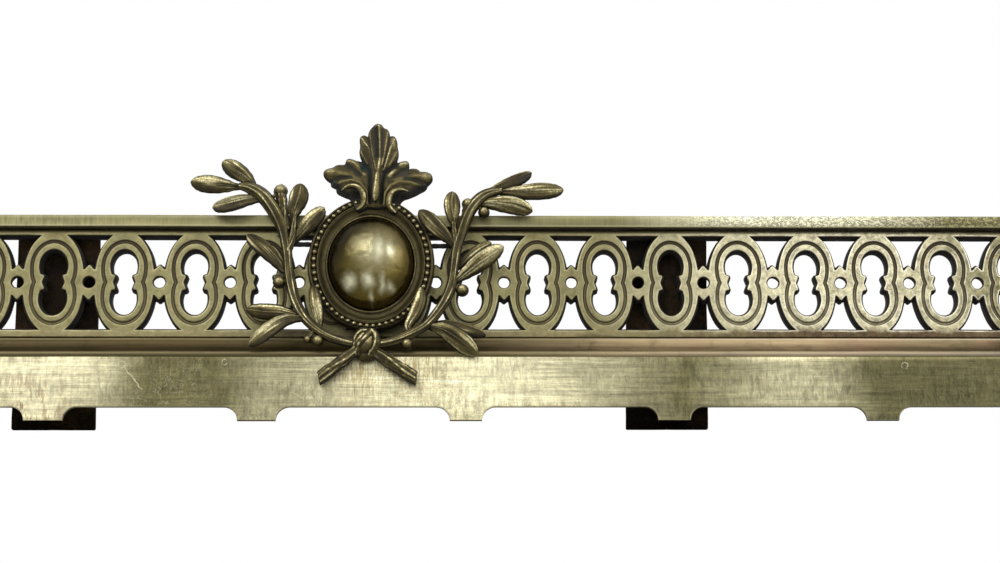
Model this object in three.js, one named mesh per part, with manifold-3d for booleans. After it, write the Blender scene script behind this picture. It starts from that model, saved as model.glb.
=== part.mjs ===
// Three-sided brass fire fender: a pierced gallery between a top rail and a coved base moulding, on a
// plinth with feet, stiffened by iron straps, with a cast laurel and boss ornament on its front.
// Millimetres, +Z up, floor at Z = 0, front towards -Y. The outer faces of the gallery are the datum:
// depth is measured inwards from them, so what stands out in front of the gallery has a negative depth.

import * as THREE from "three";
import { mergeVertices } from "three/addons/utils/BufferGeometryUtils.js";
import Module from "manifold-3d";

const wasm = await Module();
wasm.setup();

// ---------------------------------------------------------------- driving dimensions

const PITCH = 50; // one oval of the gallery
const FRONT_CELLS = 24;
const RETURN_CELLS = 6;
const PANEL_CELLS = 6; // ovals in one gallery casting
const GAP = 0.3; // clearance between two pieces that touch

const GALLERY_BOTTOM = 65;
const GALLERY_TOP = 146.7;
const GALLERY_THICK = 10;
const OPENING_BOTTOM = 70.8;
const OPENING_TOP = 142.1;
const STILE = 6; // solid edge of a gallery at a corner or an end

const OVAL_HALF_W = 21.5;
const OVAL_HALF_H = 38.7;
const OVAL_POWER = 2.15; // an oval is a little fuller than an ellipse
const LOBE_HALF_W = 10.2; // the keyhole opening inside an oval
const LOBE_RISE = 12.4;
const KEYHOLE_HALF_H = 24.9;
const WAIST_HALF_W = 5.5;
const NOTCH_HALF_W = 7.2;
const CUSP_Z = 5;
const GROOVE_HALF_W = 15.3;
const GROOVE_WAIST = 13.3;
const GROOVE_HALF_H = 30.9;
const GROOVE_WIDTH = 2.6;
const GROOVE_DEPTH = 1.3;
const DIAMOND_HALF_H = 13.2;
const LINK_SHOULDER_Z = 10;
const LINK_HOLE_R = 4.5;
const LINK_SIDES = 8;

const RAIL_FRONT = -6;
const REAR = 14; // depth of the back of the rail and of the moulding
const RAIL_BOTTOM = 146.8;
const RAIL_TOP = 155.8;
const RAIL_ROUND = 1.6;
const RAIL_NECK = -1;

const BEAD_R = 1.75;
const BEAD_DEPTH = -19.6;
const BEAD_Z = 48.7;
const COVE_FRONT = -17.6;
const COVE_BACK = 2.2;
const COVE_BOTTOM = 50.7;
const COVE_TOP = 63.6;
const STEP_BACK = 3.6; // small recess between the cove and the gallery
const FLANGE_BOTTOM = 38;
const FLANGE_THICK = 3.7;

const PLINTH_FRONT = -20;
const PLINTH_THICK = 4;
const PLINTH_TOP = 46.6;
const PLINTH_BOTTOM = 9.8;
const FOOT_HALF_W = 12;
const FOOT_PITCHES = 3; // a foot under every third oval
const FOOT_FIRST = 1.5; // pitches from the middle, or from a corner, to the first foot

const STRAP_WIDTH = 60;
const STRAP_THICK = 4;
const STRAP_TOP = 152.5;
const STRAP_AT = 4.5; // pitches from the middle of the front, or from the corner of a return
const ANGLE_LEG = 46;

const RIVET_R = 1.9;
const RIVET_HEAD_R = 3.6;
const RIVET_HEAD_H = 1.8;
const RIVET_REACH = 6; // how far a rivet goes into the brass behind which it sits
const RIVET_SIDES = 6;
const RIVET_SPREAD = STRAP_WIDTH / 3; // half the distance between the two rivets of a row
const RAIL_RIVET_Z = 150.4;
const MOULDING_RIVET_Z = 57.5;
const ANGLE_RIVET_IN = 42; // from the gallery's outer corner to the rivets of an angle iron

const BOSS_X = 3.4; // the ornament's middle, a little off the middle of the fender as it is mounted
const BOSS_Z = 117;
const BOSS_HALF_W = 29.8;
const BOSS_HALF_H = 34.5;
const BOSS_APEX = -30;
const FRAME_BACK = -6.3;
const FRAME_SEAT = -11;
const FRAME_FRONT = -15.6;
const FRAME_HALF_W = 46.2;
const FRAME_HALF_H = 50.4;
const PEARL_HALF_W = FRAME_HALF_W - 4.8;
const PEARL_HALF_H = FRAME_HALF_H - 3.2;
const PEARL_R = 1.5;
const PEARLS = 56;
const DRAWN_RISE = 1.07; // the cast ornament's height over that of the outline drawing it follows
const CREST_LEAN = 0.055;

const FRAME_FILLET = 2.2;
const FRAME_SIDES = 40;
const DOME_SIDES = 32;
const WEB_HALF = 3.5;
const LEAF_RISE = 1.7; // half thickness of a leaf at its midrib
const KNOT_ACROSS = -3.2; // the knot's middle in the ornament's drawing
const KNOT_UP = -57.6;
const KNOT_DEPTH = -27;
const KNOT_HALF_W = 9.4;
const KNOT_HALF_H = 9;
const STRAND_R = 1.5;
const VOLUTE_R = 2.1;
const CREST_FACE = -15.2;
const CREST_BACK = -10;

const STUD_R = 2.2;
const STUD_SIDES = 6;
const NUT_ACROSS = 9;
const NUT_THICK = 3.5;
const CLAMP_HALF_L = 38;
const CLAMP_HALF_H = 9;
const CLAMP_THICK = 3;
const SIDE_STUD_X = 25;
const STUD_SINK = 3; // how far a stud goes into the oval frame
const LINK_BOSS_R = 7;

// ---------------------------------------------------------------- derived sizes

const HALF_FRONT = (FRONT_CELLS * PITCH) / 2;
const RETURN_DEPTH = RETURN_CELLS * PITCH;
const OPENING_MID = (OPENING_TOP + OPENING_BOTTOM) / 2;
const OPENING_HALF = (OPENING_TOP - OPENING_BOTTOM) / 2;
const STRAP_FRONT = REAR + GAP;
const STRAP_BACK = STRAP_FRONT + STRAP_THICK;
const MITRE = GAP / Math.SQRT2; // set back of each piece from a mitre's plane, along the piece
const CLAMP_FRONT = GALLERY_THICK + GAP;
const CLAMP_BACK = CLAMP_FRONT + CLAMP_THICK;
const THROUGH = 2; // how far a cutting tool reaches past what it cuts

// ---------------------------------------------------------------- materials

function metal(color, roughness, metalness) {
  return new THREE.MeshStandardMaterial({ color, roughness, metalness });
}

const railBrass = metal(0xa8a070, 0.38, 0.9);
const galleryBrass = metal(0xa39c70, 0.5, 0.85);
const mouldingBrass = metal(0x7d6a3c, 0.45, 0.85);
const plinthBrass = metal(0xb0aa82, 0.3, 0.95);
const iron = metal(0x22201c, 0.8, 0.4);
const rivetIron = metal(0x3a332b, 0.7, 0.5);
const bronze = metal(0x6e6236, 0.45, 0.85);
const domeBrass = metal(0x968c50, 0.22, 0.95);
const studBrass = metal(0x8c7f4e, 0.4, 0.9);

// ---------------------------------------------------------------- solids

// A geometry as a manifold solid, and back.
function solid(geometry) {
  const bare = new THREE.BufferGeometry();
  bare.setAttribute("position", geometry.getAttribute("position"));
  if (geometry.index) bare.setIndex(geometry.index);
  const merged = mergeVertices(bare, 1e-3);
  return new wasm.Manifold(
    new wasm.Mesh({
      numProp: 3,
      vertProperties: merged.getAttribute("position").array,
      triVerts: new Uint32Array(merged.index.array),
    }),
  );
}

function geometryOf(manifold) {
  const mesh = manifold.getMesh();
  const geometry = new THREE.BufferGeometry();
  geometry.setAttribute("position", new THREE.BufferAttribute(mesh.vertProperties, 3));
  geometry.setIndex(new THREE.BufferAttribute(mesh.triVerts, 1));
  const flat = geometry.toNonIndexed();
  flat.computeVertexNormals();
  return flat;
}

function meshed(points, faces) {
  const geometry = new THREE.BufferGeometry();
  geometry.setAttribute("position", new THREE.Float32BufferAttribute(points.flat(), 3));
  geometry.setIndex(faces.flat());
  return geometry;
}

// A plan outline (x, y) raised from z0 to z1.
function upright(outline, z0, z1) {
  const shape = new THREE.Shape(outline.map(([x, y]) => new THREE.Vector2(x, y)));
  const geometry = new THREE.ExtrudeGeometry(shape, { depth: z1 - z0, bevelEnabled: false });
  return geometry.translate(0, 0, z0);
}

// Elevation shapes (x, z) given thickness from depth y0 to y1.
function plate(shapes, y0, y1) {
  const geometry = new THREE.ExtrudeGeometry(shapes, { depth: y1 - y0, bevelEnabled: false });
  return geometry.rotateX(Math.PI / 2).translate(0, y1, 0);
}

function shapeOf(outline) {
  return new THREE.Shape(outline.map(([x, z]) => new THREE.Vector2(x, z)));
}

// Loops of points, all with the same count, joined one to the next. The ends are closed by a fan to
// the middle of the loop, or the last loop is joined to the first.
function loft(loops, closed = false) {
  const n = loops[0].length;
  const points = loops.flat();
  const faces = [];
  const joins = closed ? loops.length : loops.length - 1;
  for (let k = 0; k < joins; k += 1) {
    const a = k * n;
    const b = ((k + 1) % loops.length) * n;
    for (let i = 0; i < n; i += 1) {
      const j = (i + 1) % n;
      faces.push([a + i, a + j, b + j], [a + i, b + j, b + i]);
    }
  }
  if (closed) return meshed(points, faces);
  const lastLoop = (loops.length - 1) * n;
  points.push(middle(loops[0]), middle(loops[loops.length - 1]));
  for (let i = 0; i < n; i += 1) {
    const j = (i + 1) % n;
    faces.push([points.length - 2, j, i], [points.length - 1, lastLoop + i, lastLoop + j]);
  }
  return meshed(points, faces);
}

function middle(loop) {
  const sum = loop.reduce(([x, y, z], p) => [x + p[0], y + p[1], z + p[2]], [0, 0, 0]);
  return sum.map((value) => value / loop.length);
}

// An ellipse in the plane of the front, at depth y.
function ellipse(halfW, halfH, y, count, x = 0, z = 0) {
  return Array.from({ length: count }, (_, i) => {
    const turn = (i / count) * 2 * Math.PI;
    return [x + halfW * Math.cos(turn), y, z + halfH * Math.sin(turn)];
  });
}

// Round work across the depth: rings [radius, y] from the back to the front.
function turned(rings, x, z, sides) {
  return loft(rings.map(([r, y]) => ellipse(r, r, y, sides, x, z)));
}

// A profile (depth, z), listed anticlockwise, run along x; each end is cut where its function says.
function bar(profile, start, end) {
  const n = profile.length;
  const points = profile.map(([d, z]) => [start(d), d, z]);
  points.push(...profile.map(([d, z]) => [end(d), d, z]));
  const faces = [];
  for (let i = 0; i < n; i += 1) {
    const j = (i + 1) % n;
    faces.push([i, j, j + n], [i, j + n, i + n]);
  }
  const contour = profile.map(([d, z]) => new THREE.Vector2(d, z));
  for (const [a, b, c] of THREE.ShapeUtils.triangulateShape(contour, [])) {
    faces.push([a, c, b], [a + n, b + n, c + n]);
  }
  return meshed(points, faces);
}

// A section (across, forwards) in units of the half width and the half thickness, carried along
// stations [x, y, z, halfWidth, halfThickness] whose path stays near the plane of the front.
function sweep(stations, section) {
  const at = (i) => new THREE.Vector3(...stations[i].slice(0, 3));
  const loops = stations.map(([x, y, z, halfW, halfT], i) => {
    const ahead = at(Math.min(i + 1, stations.length - 1));
    const along = ahead.sub(at(Math.max(i - 1, 0))).setY(0).normalize();
    return section.map(([u, v]) => [x - along.z * u * halfW, y - v * halfT, z + along.x * u * halfW]);
  });
  return loft(loops);
}

// ---------------------------------------------------------------- the three runs

// In a run's own axes x goes along it, y is the depth from the gallery's face and z is up.
const FRONT = {
  name: "front",
  start: (d) => -(HALF_FRONT - d - MITRE),
  end: (d) => HALF_FRONT - d - MITRE,
  straps: [-STRAP_AT * PITCH, STRAP_AT * PITCH],
  corners: [-HALF_FRONT, HALF_FRONT],
  feet: feetBetween(-HALF_FRONT, HALF_FRONT, 0),
};
const LEFT = {
  name: "left",
  start: () => -RETURN_DEPTH,
  end: (d) => -(d + MITRE),
  straps: [-STRAP_AT * PITCH],
  corners: [0],
  feet: feetBetween(-RETURN_DEPTH, 0, 0),
};
const RIGHT = {
  name: "right",
  start: (d) => d + MITRE,
  end: () => RETURN_DEPTH,
  straps: [STRAP_AT * PITCH],
  corners: [0],
  feet: feetBetween(0, RETURN_DEPTH, 0),
};

function feetBetween(low, high, from) {
  const feet = [];
  for (let at = FOOT_FIRST * PITCH; at < high - low; at += FOOT_PITCHES * PITCH) {
    feet.push(from - at, from + at);
  }
  return feet.filter((x) => x > low && x < high);
}

// Where the rivets of a run's straps and angle irons stand along it.
function rivetRows(run) {
  const strapRows = run.straps.flatMap((x) => [x - RIVET_SPREAD, x + RIVET_SPREAD]);
  const angleRows = run.corners.map((x) => x + (x < run.feet[0] ? 1 : -1) * ANGLE_RIVET_IN);
  return [...strapRows, ...angleRows];
}

// ---------------------------------------------------------------- rail, moulding and plinth

function topRailProfile() {
  const round = [];
  for (const turn of [0, 30, 60, 90]) {
    const angle = THREE.MathUtils.degToRad(180 - turn);
    round.push([
      RAIL_FRONT + RAIL_ROUND + RAIL_ROUND * Math.cos(angle),
      RAIL_TOP - RAIL_ROUND + RAIL_ROUND * Math.sin(angle),
    ]);
  }
  const seat = GALLERY_TOP + GAP;
  return [
    [REAR, seat],
    [REAR, RAIL_TOP],
    ...round.reverse(),
    [RAIL_FRONT, RAIL_BOTTOM],
    [RAIL_FRONT + RAIL_ROUND, RAIL_BOTTOM],
    [RAIL_NECK - RAIL_ROUND, seat + RAIL_ROUND],
    [RAIL_NECK, seat + RAIL_ROUND],
    [RAIL_NECK, seat],
  ];
}

function baseMouldingProfile() {
  const cove = [];
  for (const turn of [0, 18, 36, 54, 72, 90]) {
    const angle = THREE.MathUtils.degToRad(turn);
    cove.push([
      COVE_FRONT + (COVE_BACK - COVE_FRONT) * Math.sin(angle),
      COVE_TOP - (COVE_TOP - COVE_BOTTOM) * Math.cos(angle),
    ]);
  }
  const bead = [];
  for (const turn of [60, 100, 140, 180, 220, 260]) {
    const angle = THREE.MathUtils.degToRad(turn);
    bead.push([BEAD_DEPTH + BEAD_R * Math.cos(angle), BEAD_Z + BEAD_R * Math.sin(angle)]);
  }
  const seat = GALLERY_BOTTOM - GAP;
  const flangeFront = PLINTH_FRONT + PLINTH_THICK + GAP;
  const flangeBack = flangeFront + FLANGE_THICK;
  const underside = PLINTH_TOP + GAP;
  return [
    [REAR, underside],
    [REAR, seat],
    [STEP_BACK, seat],
    [STEP_BACK, COVE_TOP],
    ...cove.reverse(),
    ...bead,
    [flangeFront, underside],
    [flangeFront, FLANGE_BOTTOM],
    [flangeBack, FLANGE_BOTTOM],
    [flangeBack, underside],
    [COVE_FRONT + (COVE_BACK - COVE_FRONT) * 0.72, COVE_BOTTOM],
    [STEP_BACK, COVE_TOP - FLANGE_THICK * 2],
    [STEP_BACK + GAP, underside],
  ];
}

// The blind holes that a run's rivets go into, at one height.
function rivetBores(run, z) {
  const rings = [
    [RIVET_R + GAP, REAR + THROUGH],
    [RIVET_R + GAP, REAR - RIVET_REACH],
  ];
  return rivetRows(run).map((x) => solid(turned(rings, x, z, RIVET_SIDES)));
}

function bored(geometry, bores) {
  return geometryOf(bores.reduce((left, bore) => left.subtract(bore), solid(geometry)));
}

function plinthGeometry(run) {
  const outline = [
    [run.end(PLINTH_FRONT) + THROUGH, PLINTH_TOP],
    [run.start(PLINTH_FRONT) - THROUGH, PLINTH_TOP],
    [run.start(PLINTH_FRONT) - THROUGH, PLINTH_BOTTOM],
  ];
  for (const x of [...run.feet].sort((a, b) => a - b)) {
    outline.push(...footOutline(x));
  }
  outline.push([run.end(PLINTH_FRONT) + THROUGH, PLINTH_BOTTOM]);
  const back = PLINTH_FRONT + PLINTH_THICK;
  const sheet = solid(plate([shapeOf(outline)], PLINTH_FRONT, back));
  const plan = planOf(run.start, run.end, PLINTH_FRONT - THROUGH, back + THROUGH);
  return geometryOf(sheet.intersect(solid(upright(plan, -THROUGH, PLINTH_TOP + THROUGH))));
}

function footOutline(x) {
  const side = [];
  for (const turn of [90, 67.5, 45, 22.5, 0]) {
    const angle = THREE.MathUtils.degToRad(turn);
    const across = FOOT_HALF_W + PLINTH_BOTTOM * (1 - Math.cos(angle));
    side.push([-across, PLINTH_BOTTOM * Math.sin(angle)]);
  }
  const other = [...side].reverse().map(([across, z]) => [-across, z]);
  return [...side, ...other].map(([across, z]) => [x + across, z]);
}

// The plan of a run between two depths, anticlockwise.
function planOf(start, end, near, far) {
  return [
    [start(near), near],
    [end(near), near],
    [end(far), far],
    [start(far), far],
  ];
}

// ---------------------------------------------------------------- gallery

// A quarter outline (x, z), from the top to the side, mirrored into a closed one, anticlockwise.
function fourfold(quarter, x0) {
  const right = [...quarter].reverse();
  const halfTop = [...right, ...quarter.filter(([x]) => x > 0).map(([x, z]) => [-x, z])];
  const halfBottom = [...halfTop].map(([x, z]) => [-x, -z]);
  const all = [...halfTop, ...halfBottom].filter(([x, z], i, list) => {
    const [px, pz] = list[(i + list.length - 1) % list.length];
    return x !== px || z !== pz;
  });
  return all.map(([x, z]) => [x0 + x, OPENING_MID + z]);
}

function keyhole(x0) {
  const quarter = [90, 55, 18, -20].map((turn) => {
    const angle = THREE.MathUtils.degToRad(turn);
    const rise = (KEYHOLE_HALF_H - LOBE_RISE) * Math.sin(angle);
    return [turn === 90 ? 0 : LOBE_HALF_W * Math.cos(angle), LOBE_RISE + rise];
  });
  quarter.push([WAIST_HALF_W, CUSP_Z], [NOTCH_HALF_W, 0]);
  return fourfold(quarter, x0);
}

function grooveLoop(x0, widen, y) {
  const quarter = [
    [0, GROOVE_HALF_H + widen],
    [GROOVE_HALF_W * 0.66 + widen * 0.7, GROOVE_HALF_H * 0.84 + widen * 0.7],
    [GROOVE_HALF_W + widen, GROOVE_HALF_H * 0.46],
    [GROOVE_WAIST + widen, 0],
  ];
  return fourfold(quarter, x0).map(([x, z]) => [x, y, z]);
}

// The incised line round a keyhole, as the V-shaped ring that is cut away.
function groove(x0) {
  const proud = GROOVE_DEPTH / 2;
  const half = (GROOVE_WIDTH / 2) * (1 + proud / GROOVE_DEPTH);
  const loops = [grooveLoop(x0, 0, GROOVE_DEPTH), grooveLoop(x0, half, -proud), grooveLoop(x0, -half, -proud)];
  return solid(loft(loops, true));
}

// The opening over or under a link: between two ovals, a band and the link's two slopes.
function spandrel(x0, up) {
  const side = [1, 0.8, 0.55, 0].map((rise) => {
    const z = LINK_SHOULDER_Z + (OPENING_HALF - LINK_SHOULDER_Z) * rise;
    const ovalX = OVAL_HALF_W * (1 - (z / OVAL_HALF_H) ** OVAL_POWER) ** (1 / OVAL_POWER);
    return [PITCH / 2 - ovalX, z];
  });
  const other = [...side].reverse().map(([x, z]) => [-x, z]);
  const outline = [...side, [0, DIAMOND_HALF_H], ...other];
  return outline.map(([x, z]) => [x0 + x, OPENING_MID + up * z]);
}

function linkHole(x0) {
  return ellipse(LINK_HOLE_R, LINK_HOLE_R, 0, LINK_SIDES, x0, OPENING_MID).map(([x, , z]) => [x, z]);
}

// One casting of the gallery, with its openings: cells counts ovals from x0; a stile closes an end
// that is a corner or a free end, and the others are butted in the middle of a link.
function galleryPanel(start, end, x0, cells, stileAt) {
  const plan = planOf(start, end, 0, GALLERY_THICK);
  let panel = solid(upright(plan, GALLERY_BOTTOM, GALLERY_TOP));
  const edges = Array.from({ length: cells + 1 }, (_, i) => x0 + i * PITCH);
  const shapes = edges.flatMap((x) => [spandrel(x, 1), spandrel(x, -1)]);
  shapes.push(...edges.filter((x) => !stileAt.includes(x)).map(linkHole));
  const middles = edges.slice(0, cells).map((x) => x + PITCH / 2);
  shapes.push(...middles.map(keyhole));
  let tool = solid(plate(shapes.map(shapeOf), -THROUGH, GALLERY_THICK + THROUGH));
  for (const x of stileAt) {
    const [low, high] = x === x0 ? [start, (d) => start(d) + STILE] : [(d) => end(d) - STILE, end];
    const wide = planOf(
      (d) => low(d) - (x === x0 ? PITCH : 0),
      (d) => high(d) + (x === x0 ? 0 : PITCH),
      -THROUGH * 2,
      GALLERY_THICK + THROUGH * 2,
    );
    tool = tool.subtract(solid(upright(wide, 0, RAIL_TOP)));
  }
  panel = panel.subtract(tool);
  for (const x of middles) panel = panel.subtract(groove(x));
  return geometryOf(panel);
}

// ---------------------------------------------------------------- iron straps and rivets

function strapGeometry(x) {
  const outline = [
    [x - STRAP_WIDTH / 2, 0],
    [x + STRAP_WIDTH / 2, 0],
    [x + STRAP_WIDTH / 2, STRAP_TOP],
    [x - STRAP_WIDTH / 2, STRAP_TOP],
  ];
  const sheet = plate([shapeOf(outline)], STRAP_FRONT, STRAP_BACK);
  const tools = [x - RIVET_SPREAD, x + RIVET_SPREAD].flatMap((at) => clearHoleTools(at));
  return bored(sheet, tools.map(solid));
}

// The tools for the two rivet holes at one place along a run.
function clearHoleTools(x) {
  const rings = [
    [RIVET_R + GAP, STRAP_BACK + THROUGH],
    [RIVET_R + GAP, STRAP_FRONT - THROUGH],
  ];
  return [RAIL_RIVET_Z, MOULDING_RIVET_Z].map((z) => turned(rings, x, z, RIVET_SIDES));
}

function angleIronGeometry(side) {
  const edge = HALF_FRONT - STRAP_FRONT;
  const inner = edge - STRAP_THICK;
  const outline = [
    [edge - ANGLE_LEG, STRAP_FRONT],
    [edge, STRAP_FRONT],
    [edge, STRAP_FRONT + ANGLE_LEG],
    [inner, STRAP_FRONT + ANGLE_LEG],
    [inner, STRAP_BACK],
    [edge - ANGLE_LEG, STRAP_BACK],
  ].map(([x, y]) => [side * x, y]);
  if (side < 0) outline.reverse();
  const along = clearHoleTools(side * (HALF_FRONT - ANGLE_RIVET_IN));
  const across = clearHoleTools(side * ANGLE_RIVET_IN).map((tool) =>
    tool.rotateZ((side * Math.PI) / 2).translate(side * HALF_FRONT, 0, 0),
  );
  return bored(upright(outline, 0, STRAP_TOP), [...along, ...across].map(solid));
}

function rivetGeometry(x, z) {
  const seat = STRAP_BACK + GAP;
  const rings = [
    [RIVET_HEAD_R * 0.55, seat + RIVET_HEAD_H],
    [RIVET_HEAD_R, seat],
    [RIVET_R, seat],
    [RIVET_R, REAR - RIVET_REACH + GAP],
  ];
  return turned(rings, x, z, RIVET_SIDES);
}

// ---------------------------------------------------------------- applied ornament

// The ornament is set out in a drawing (across, up) from the middle of its boss.
function drawn(across, up) {
  return [BOSS_X + across, BOSS_Z + up * DRAWN_RISE];
}

const LEAF_SECTION = [
  [-1, 0],
  [0, -0.6],
  [1, 0],
  [0.5, 0.35],
  [0, 1],
  [-0.5, 0.35],
];
const ROUND_SECTION = ellipse(1, 1, 0, 6).map(([u, , v]) => [u, v]);

// Stations [x, y, z, halfWidth, halfThickness] at even steps of a smooth line through drawn points
// [across, up, depth]; widths is a list of [share of the way, half width, half thickness].
function stationsAlong(points, widths) {
  const curve = new THREE.CatmullRomCurve3(
    points.map(([across, up, depth]) => {
      const [x, z] = drawn(across, up);
      return new THREE.Vector3(x, depth, z);
    }),
  );
  return widths.map(([share, halfW, halfT]) => {
    const { x, y, z } = curve.getPointAt(share);
    return [x, y, z, halfW, halfT];
  });
}

function leafSolid(points, width) {
  const half = width / 2;
  const widths = [
    [0, 0.3, 0.7],
    [0.16, 0.72, 1],
    [0.36, 1, 1.15],
    [0.62, 0.98, 1.1],
    [0.86, 0.66, 0.9],
    [1, 0.12, 0.3],
  ].map(([share, w, t]) => [share, w * half, t * LEAF_RISE]);
  return solid(sweep(stationsAlong(points, widths), LEAF_SECTION));
}

function strandSolid(points, r) {
  const count = points.length * 2 - 1;
  const widths = Array.from({ length: count }, (_, i) => [i / (count - 1), r, r * 1.15]);
  return solid(sweep(stationsAlong(points, widths), ROUND_SECTION));
}

// A stem through drawn points [across, up, depth, radius], with one more station between each two.
function stemSolid(points) {
  const curve = new THREE.CatmullRomCurve3(
    points.map(([across, up, depth]) => {
      const [x, z] = drawn(across, up);
      return new THREE.Vector3(x, depth, z);
    }),
  );
  const steps = (points.length - 1) * 2;
  const stations = Array.from({ length: steps + 1 }, (_, i) => {
    const { x, y, z } = curve.getPoint(i / steps);
    const r = (points[Math.floor(i / 2)][3] + points[Math.ceil(i / 2)][3]) / 2;
    return [x, y, z, r, r];
  });
  return solid(sweep(stations, ROUND_SECTION));
}

function berrySolid([across, up, depth], r) {
  const [x, z] = drawn(across, up);
  const rings = [
    [r * 0.6, depth + r * 0.8],
    [r, depth],
    [r * 0.75, depth - r * 0.66],
    [r * 0.2, depth - r],
  ];
  return solid(turned(rings, x, z, 8));
}

// The point of some lines of drawn points that lies nearest to a drawn point.
function nearest(lines, [across, up]) {
  const farFrom = ([x, y]) => Math.hypot(x - across, y - up);
  let best = lines[0][0];
  for (const line of lines) {
    for (let i = 1; i < line.length; i += 1) {
      const from = new THREE.Vector3(...line[i - 1]);
      const to = new THREE.Vector3(...line[i]);
      const span = to.clone().sub(from).setZ(0);
      const share = new THREE.Vector3(across, up, 0).sub(from).setZ(0).dot(span) / span.lengthSq();
      const foot = from.lerp(to, THREE.MathUtils.clamp(share, 0, 1)).toArray();
      if (farFrom(foot) < farFrom(best)) best = foot;
    }
  }
  return best;
}

// A laurel branch: a stem from the knot upwards, a twig, leaves and berries that grow from them.
function branchSolid({ stem, twig, stalk, leaves, berries, web }) {
  const wood = [stem, twig];
  let branch = stemSolid(stem).add(stemSolid(twig)).add(stemSolid(stalk));
  for (const { line, width } of leaves) {
    branch = branch.add(leafSolid([nearest(wood, line[0]), ...line], width));
  }
  for (const { at, r } of berries) {
    const root = nearest(wood, at);
    const stalk = stationsAlong([root, at], [[0, 1.5, 1.5], [1, 1.2, 1.2]]);
    branch = branch.add(solid(sweep(stalk, ROUND_SECTION))).add(berrySolid(at, r));
  }
  const arm = stationsAlong(web, [[0, WEB_HALF, 1.6], [1, WEB_HALF, 1.6]]);
  branch = branch.add(solid(sweep(arm, ROUND_SECTION)));
  return branch.subtract(frameSolid(GAP)).subtract(knotSolid(GAP));
}

const LEFT_BRANCH = {
  stem: [
    [-4, -58, -26.5, 3.2],
    [-14, -57.8, -26, 3.3],
    [-29, -53.2, -24.5, 3.6],
    [-40, -46, -22, 3.8],
    [-48, -37.5, -19, 3.8],
    [-54, -26.5, -16, 3.6],
    [-57.5, -15, -14, 3.6],
    [-59.5, -4.5, -13, 3.6],
    [-61, 8, -13, 3.6],
    [-63.5, 19.5, -13, 3.8],
    [-66.7, 29.3, -13.5, 4.4],
    [-72.5, 39.2, -14, 5],
    [-80, 48, -14, 5.2],
    [-89.3, 53.6, -13.5, 4.4],
    [-97, 55.2, -13, 2.8],
  ],
  twig: [
    [-60.5, 8, -13.5, 2.6],
    [-57.2, 17.7, -14.5, 2.7],
    [-56.4, 26.4, -14, 2.2],
    [-56.2, 33, -14, 1.6],
  ],
  leaves: [
    { line: [[-97, 54.6, -13.5], [-108, 55, -15], [-121, 56.2, -15.5], [-133, 58.2, -12.5]], width: 13.3 },
    { line: [[-88, 57, -13.5], [-93, 61.5, -15], [-101, 66.4, -15.5], [-110.2, 73, -12.5]], width: 12.8 },
    { line: [[-82, 46, -14], [-91, 45, -15.5], [-102, 42.6, -15.5], [-116.4, 39.9, -12.5]], width: 11.6 },
    { line: [[-57.5, 31, -14], [-55.8, 38.5, -15.5], [-53.4, 46.7, -15.5], [-52.1, 57, -13]], width: 13.6 },
    { line: [[-54.7, 17, -14.5], [-49.5, 22.5, -17], [-43.5, 29, -19], [-34.5, 38.6, -18]], width: 12.2 },
    { line: [[-63, -4.8, -14], [-70, 3, -16], [-78.6, 11, -17], [-90, 20.3, -14]], width: 13.3 },
    { line: [[-53, -36.5, -15], [-65, -34.5, -14.6], [-77, -33.8, -13.6], [-90, -31.8, -11.5]], width: 11.4 },
    { line: [[-49, -40, -21.5], [-60, -41.6, -24.2], [-72, -48.6, -26], [-85.8, -59.4, -24.5]], width: 11.2 },
    { line: [[-35.7, -48.4, -22], [-37.1, -37.9, -21.5], [-39.5, -27.4, -21], [-41.3, -16.5, -19]], width: 9 },
  ],
  berries: [
    { at: [-66.9, 51.6, -14], r: 4.8 },
    { at: [-66.1, -13.6, -15.5], r: 4.2 },
    { at: [-36.6, -57, -27], r: 4 },
    { at: [-44, -55.8, -26], r: 2.6 },
  ],
  stalk: [
    [-62.5, 24, -12.5, 3],
    [-64.9, 39, -12.5, 3.8],
    [-66.9, 50, -13, 4],
  ],
  web: [
    [-60, 14, -11],
    [-44, 14, -11],
  ],
};

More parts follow.
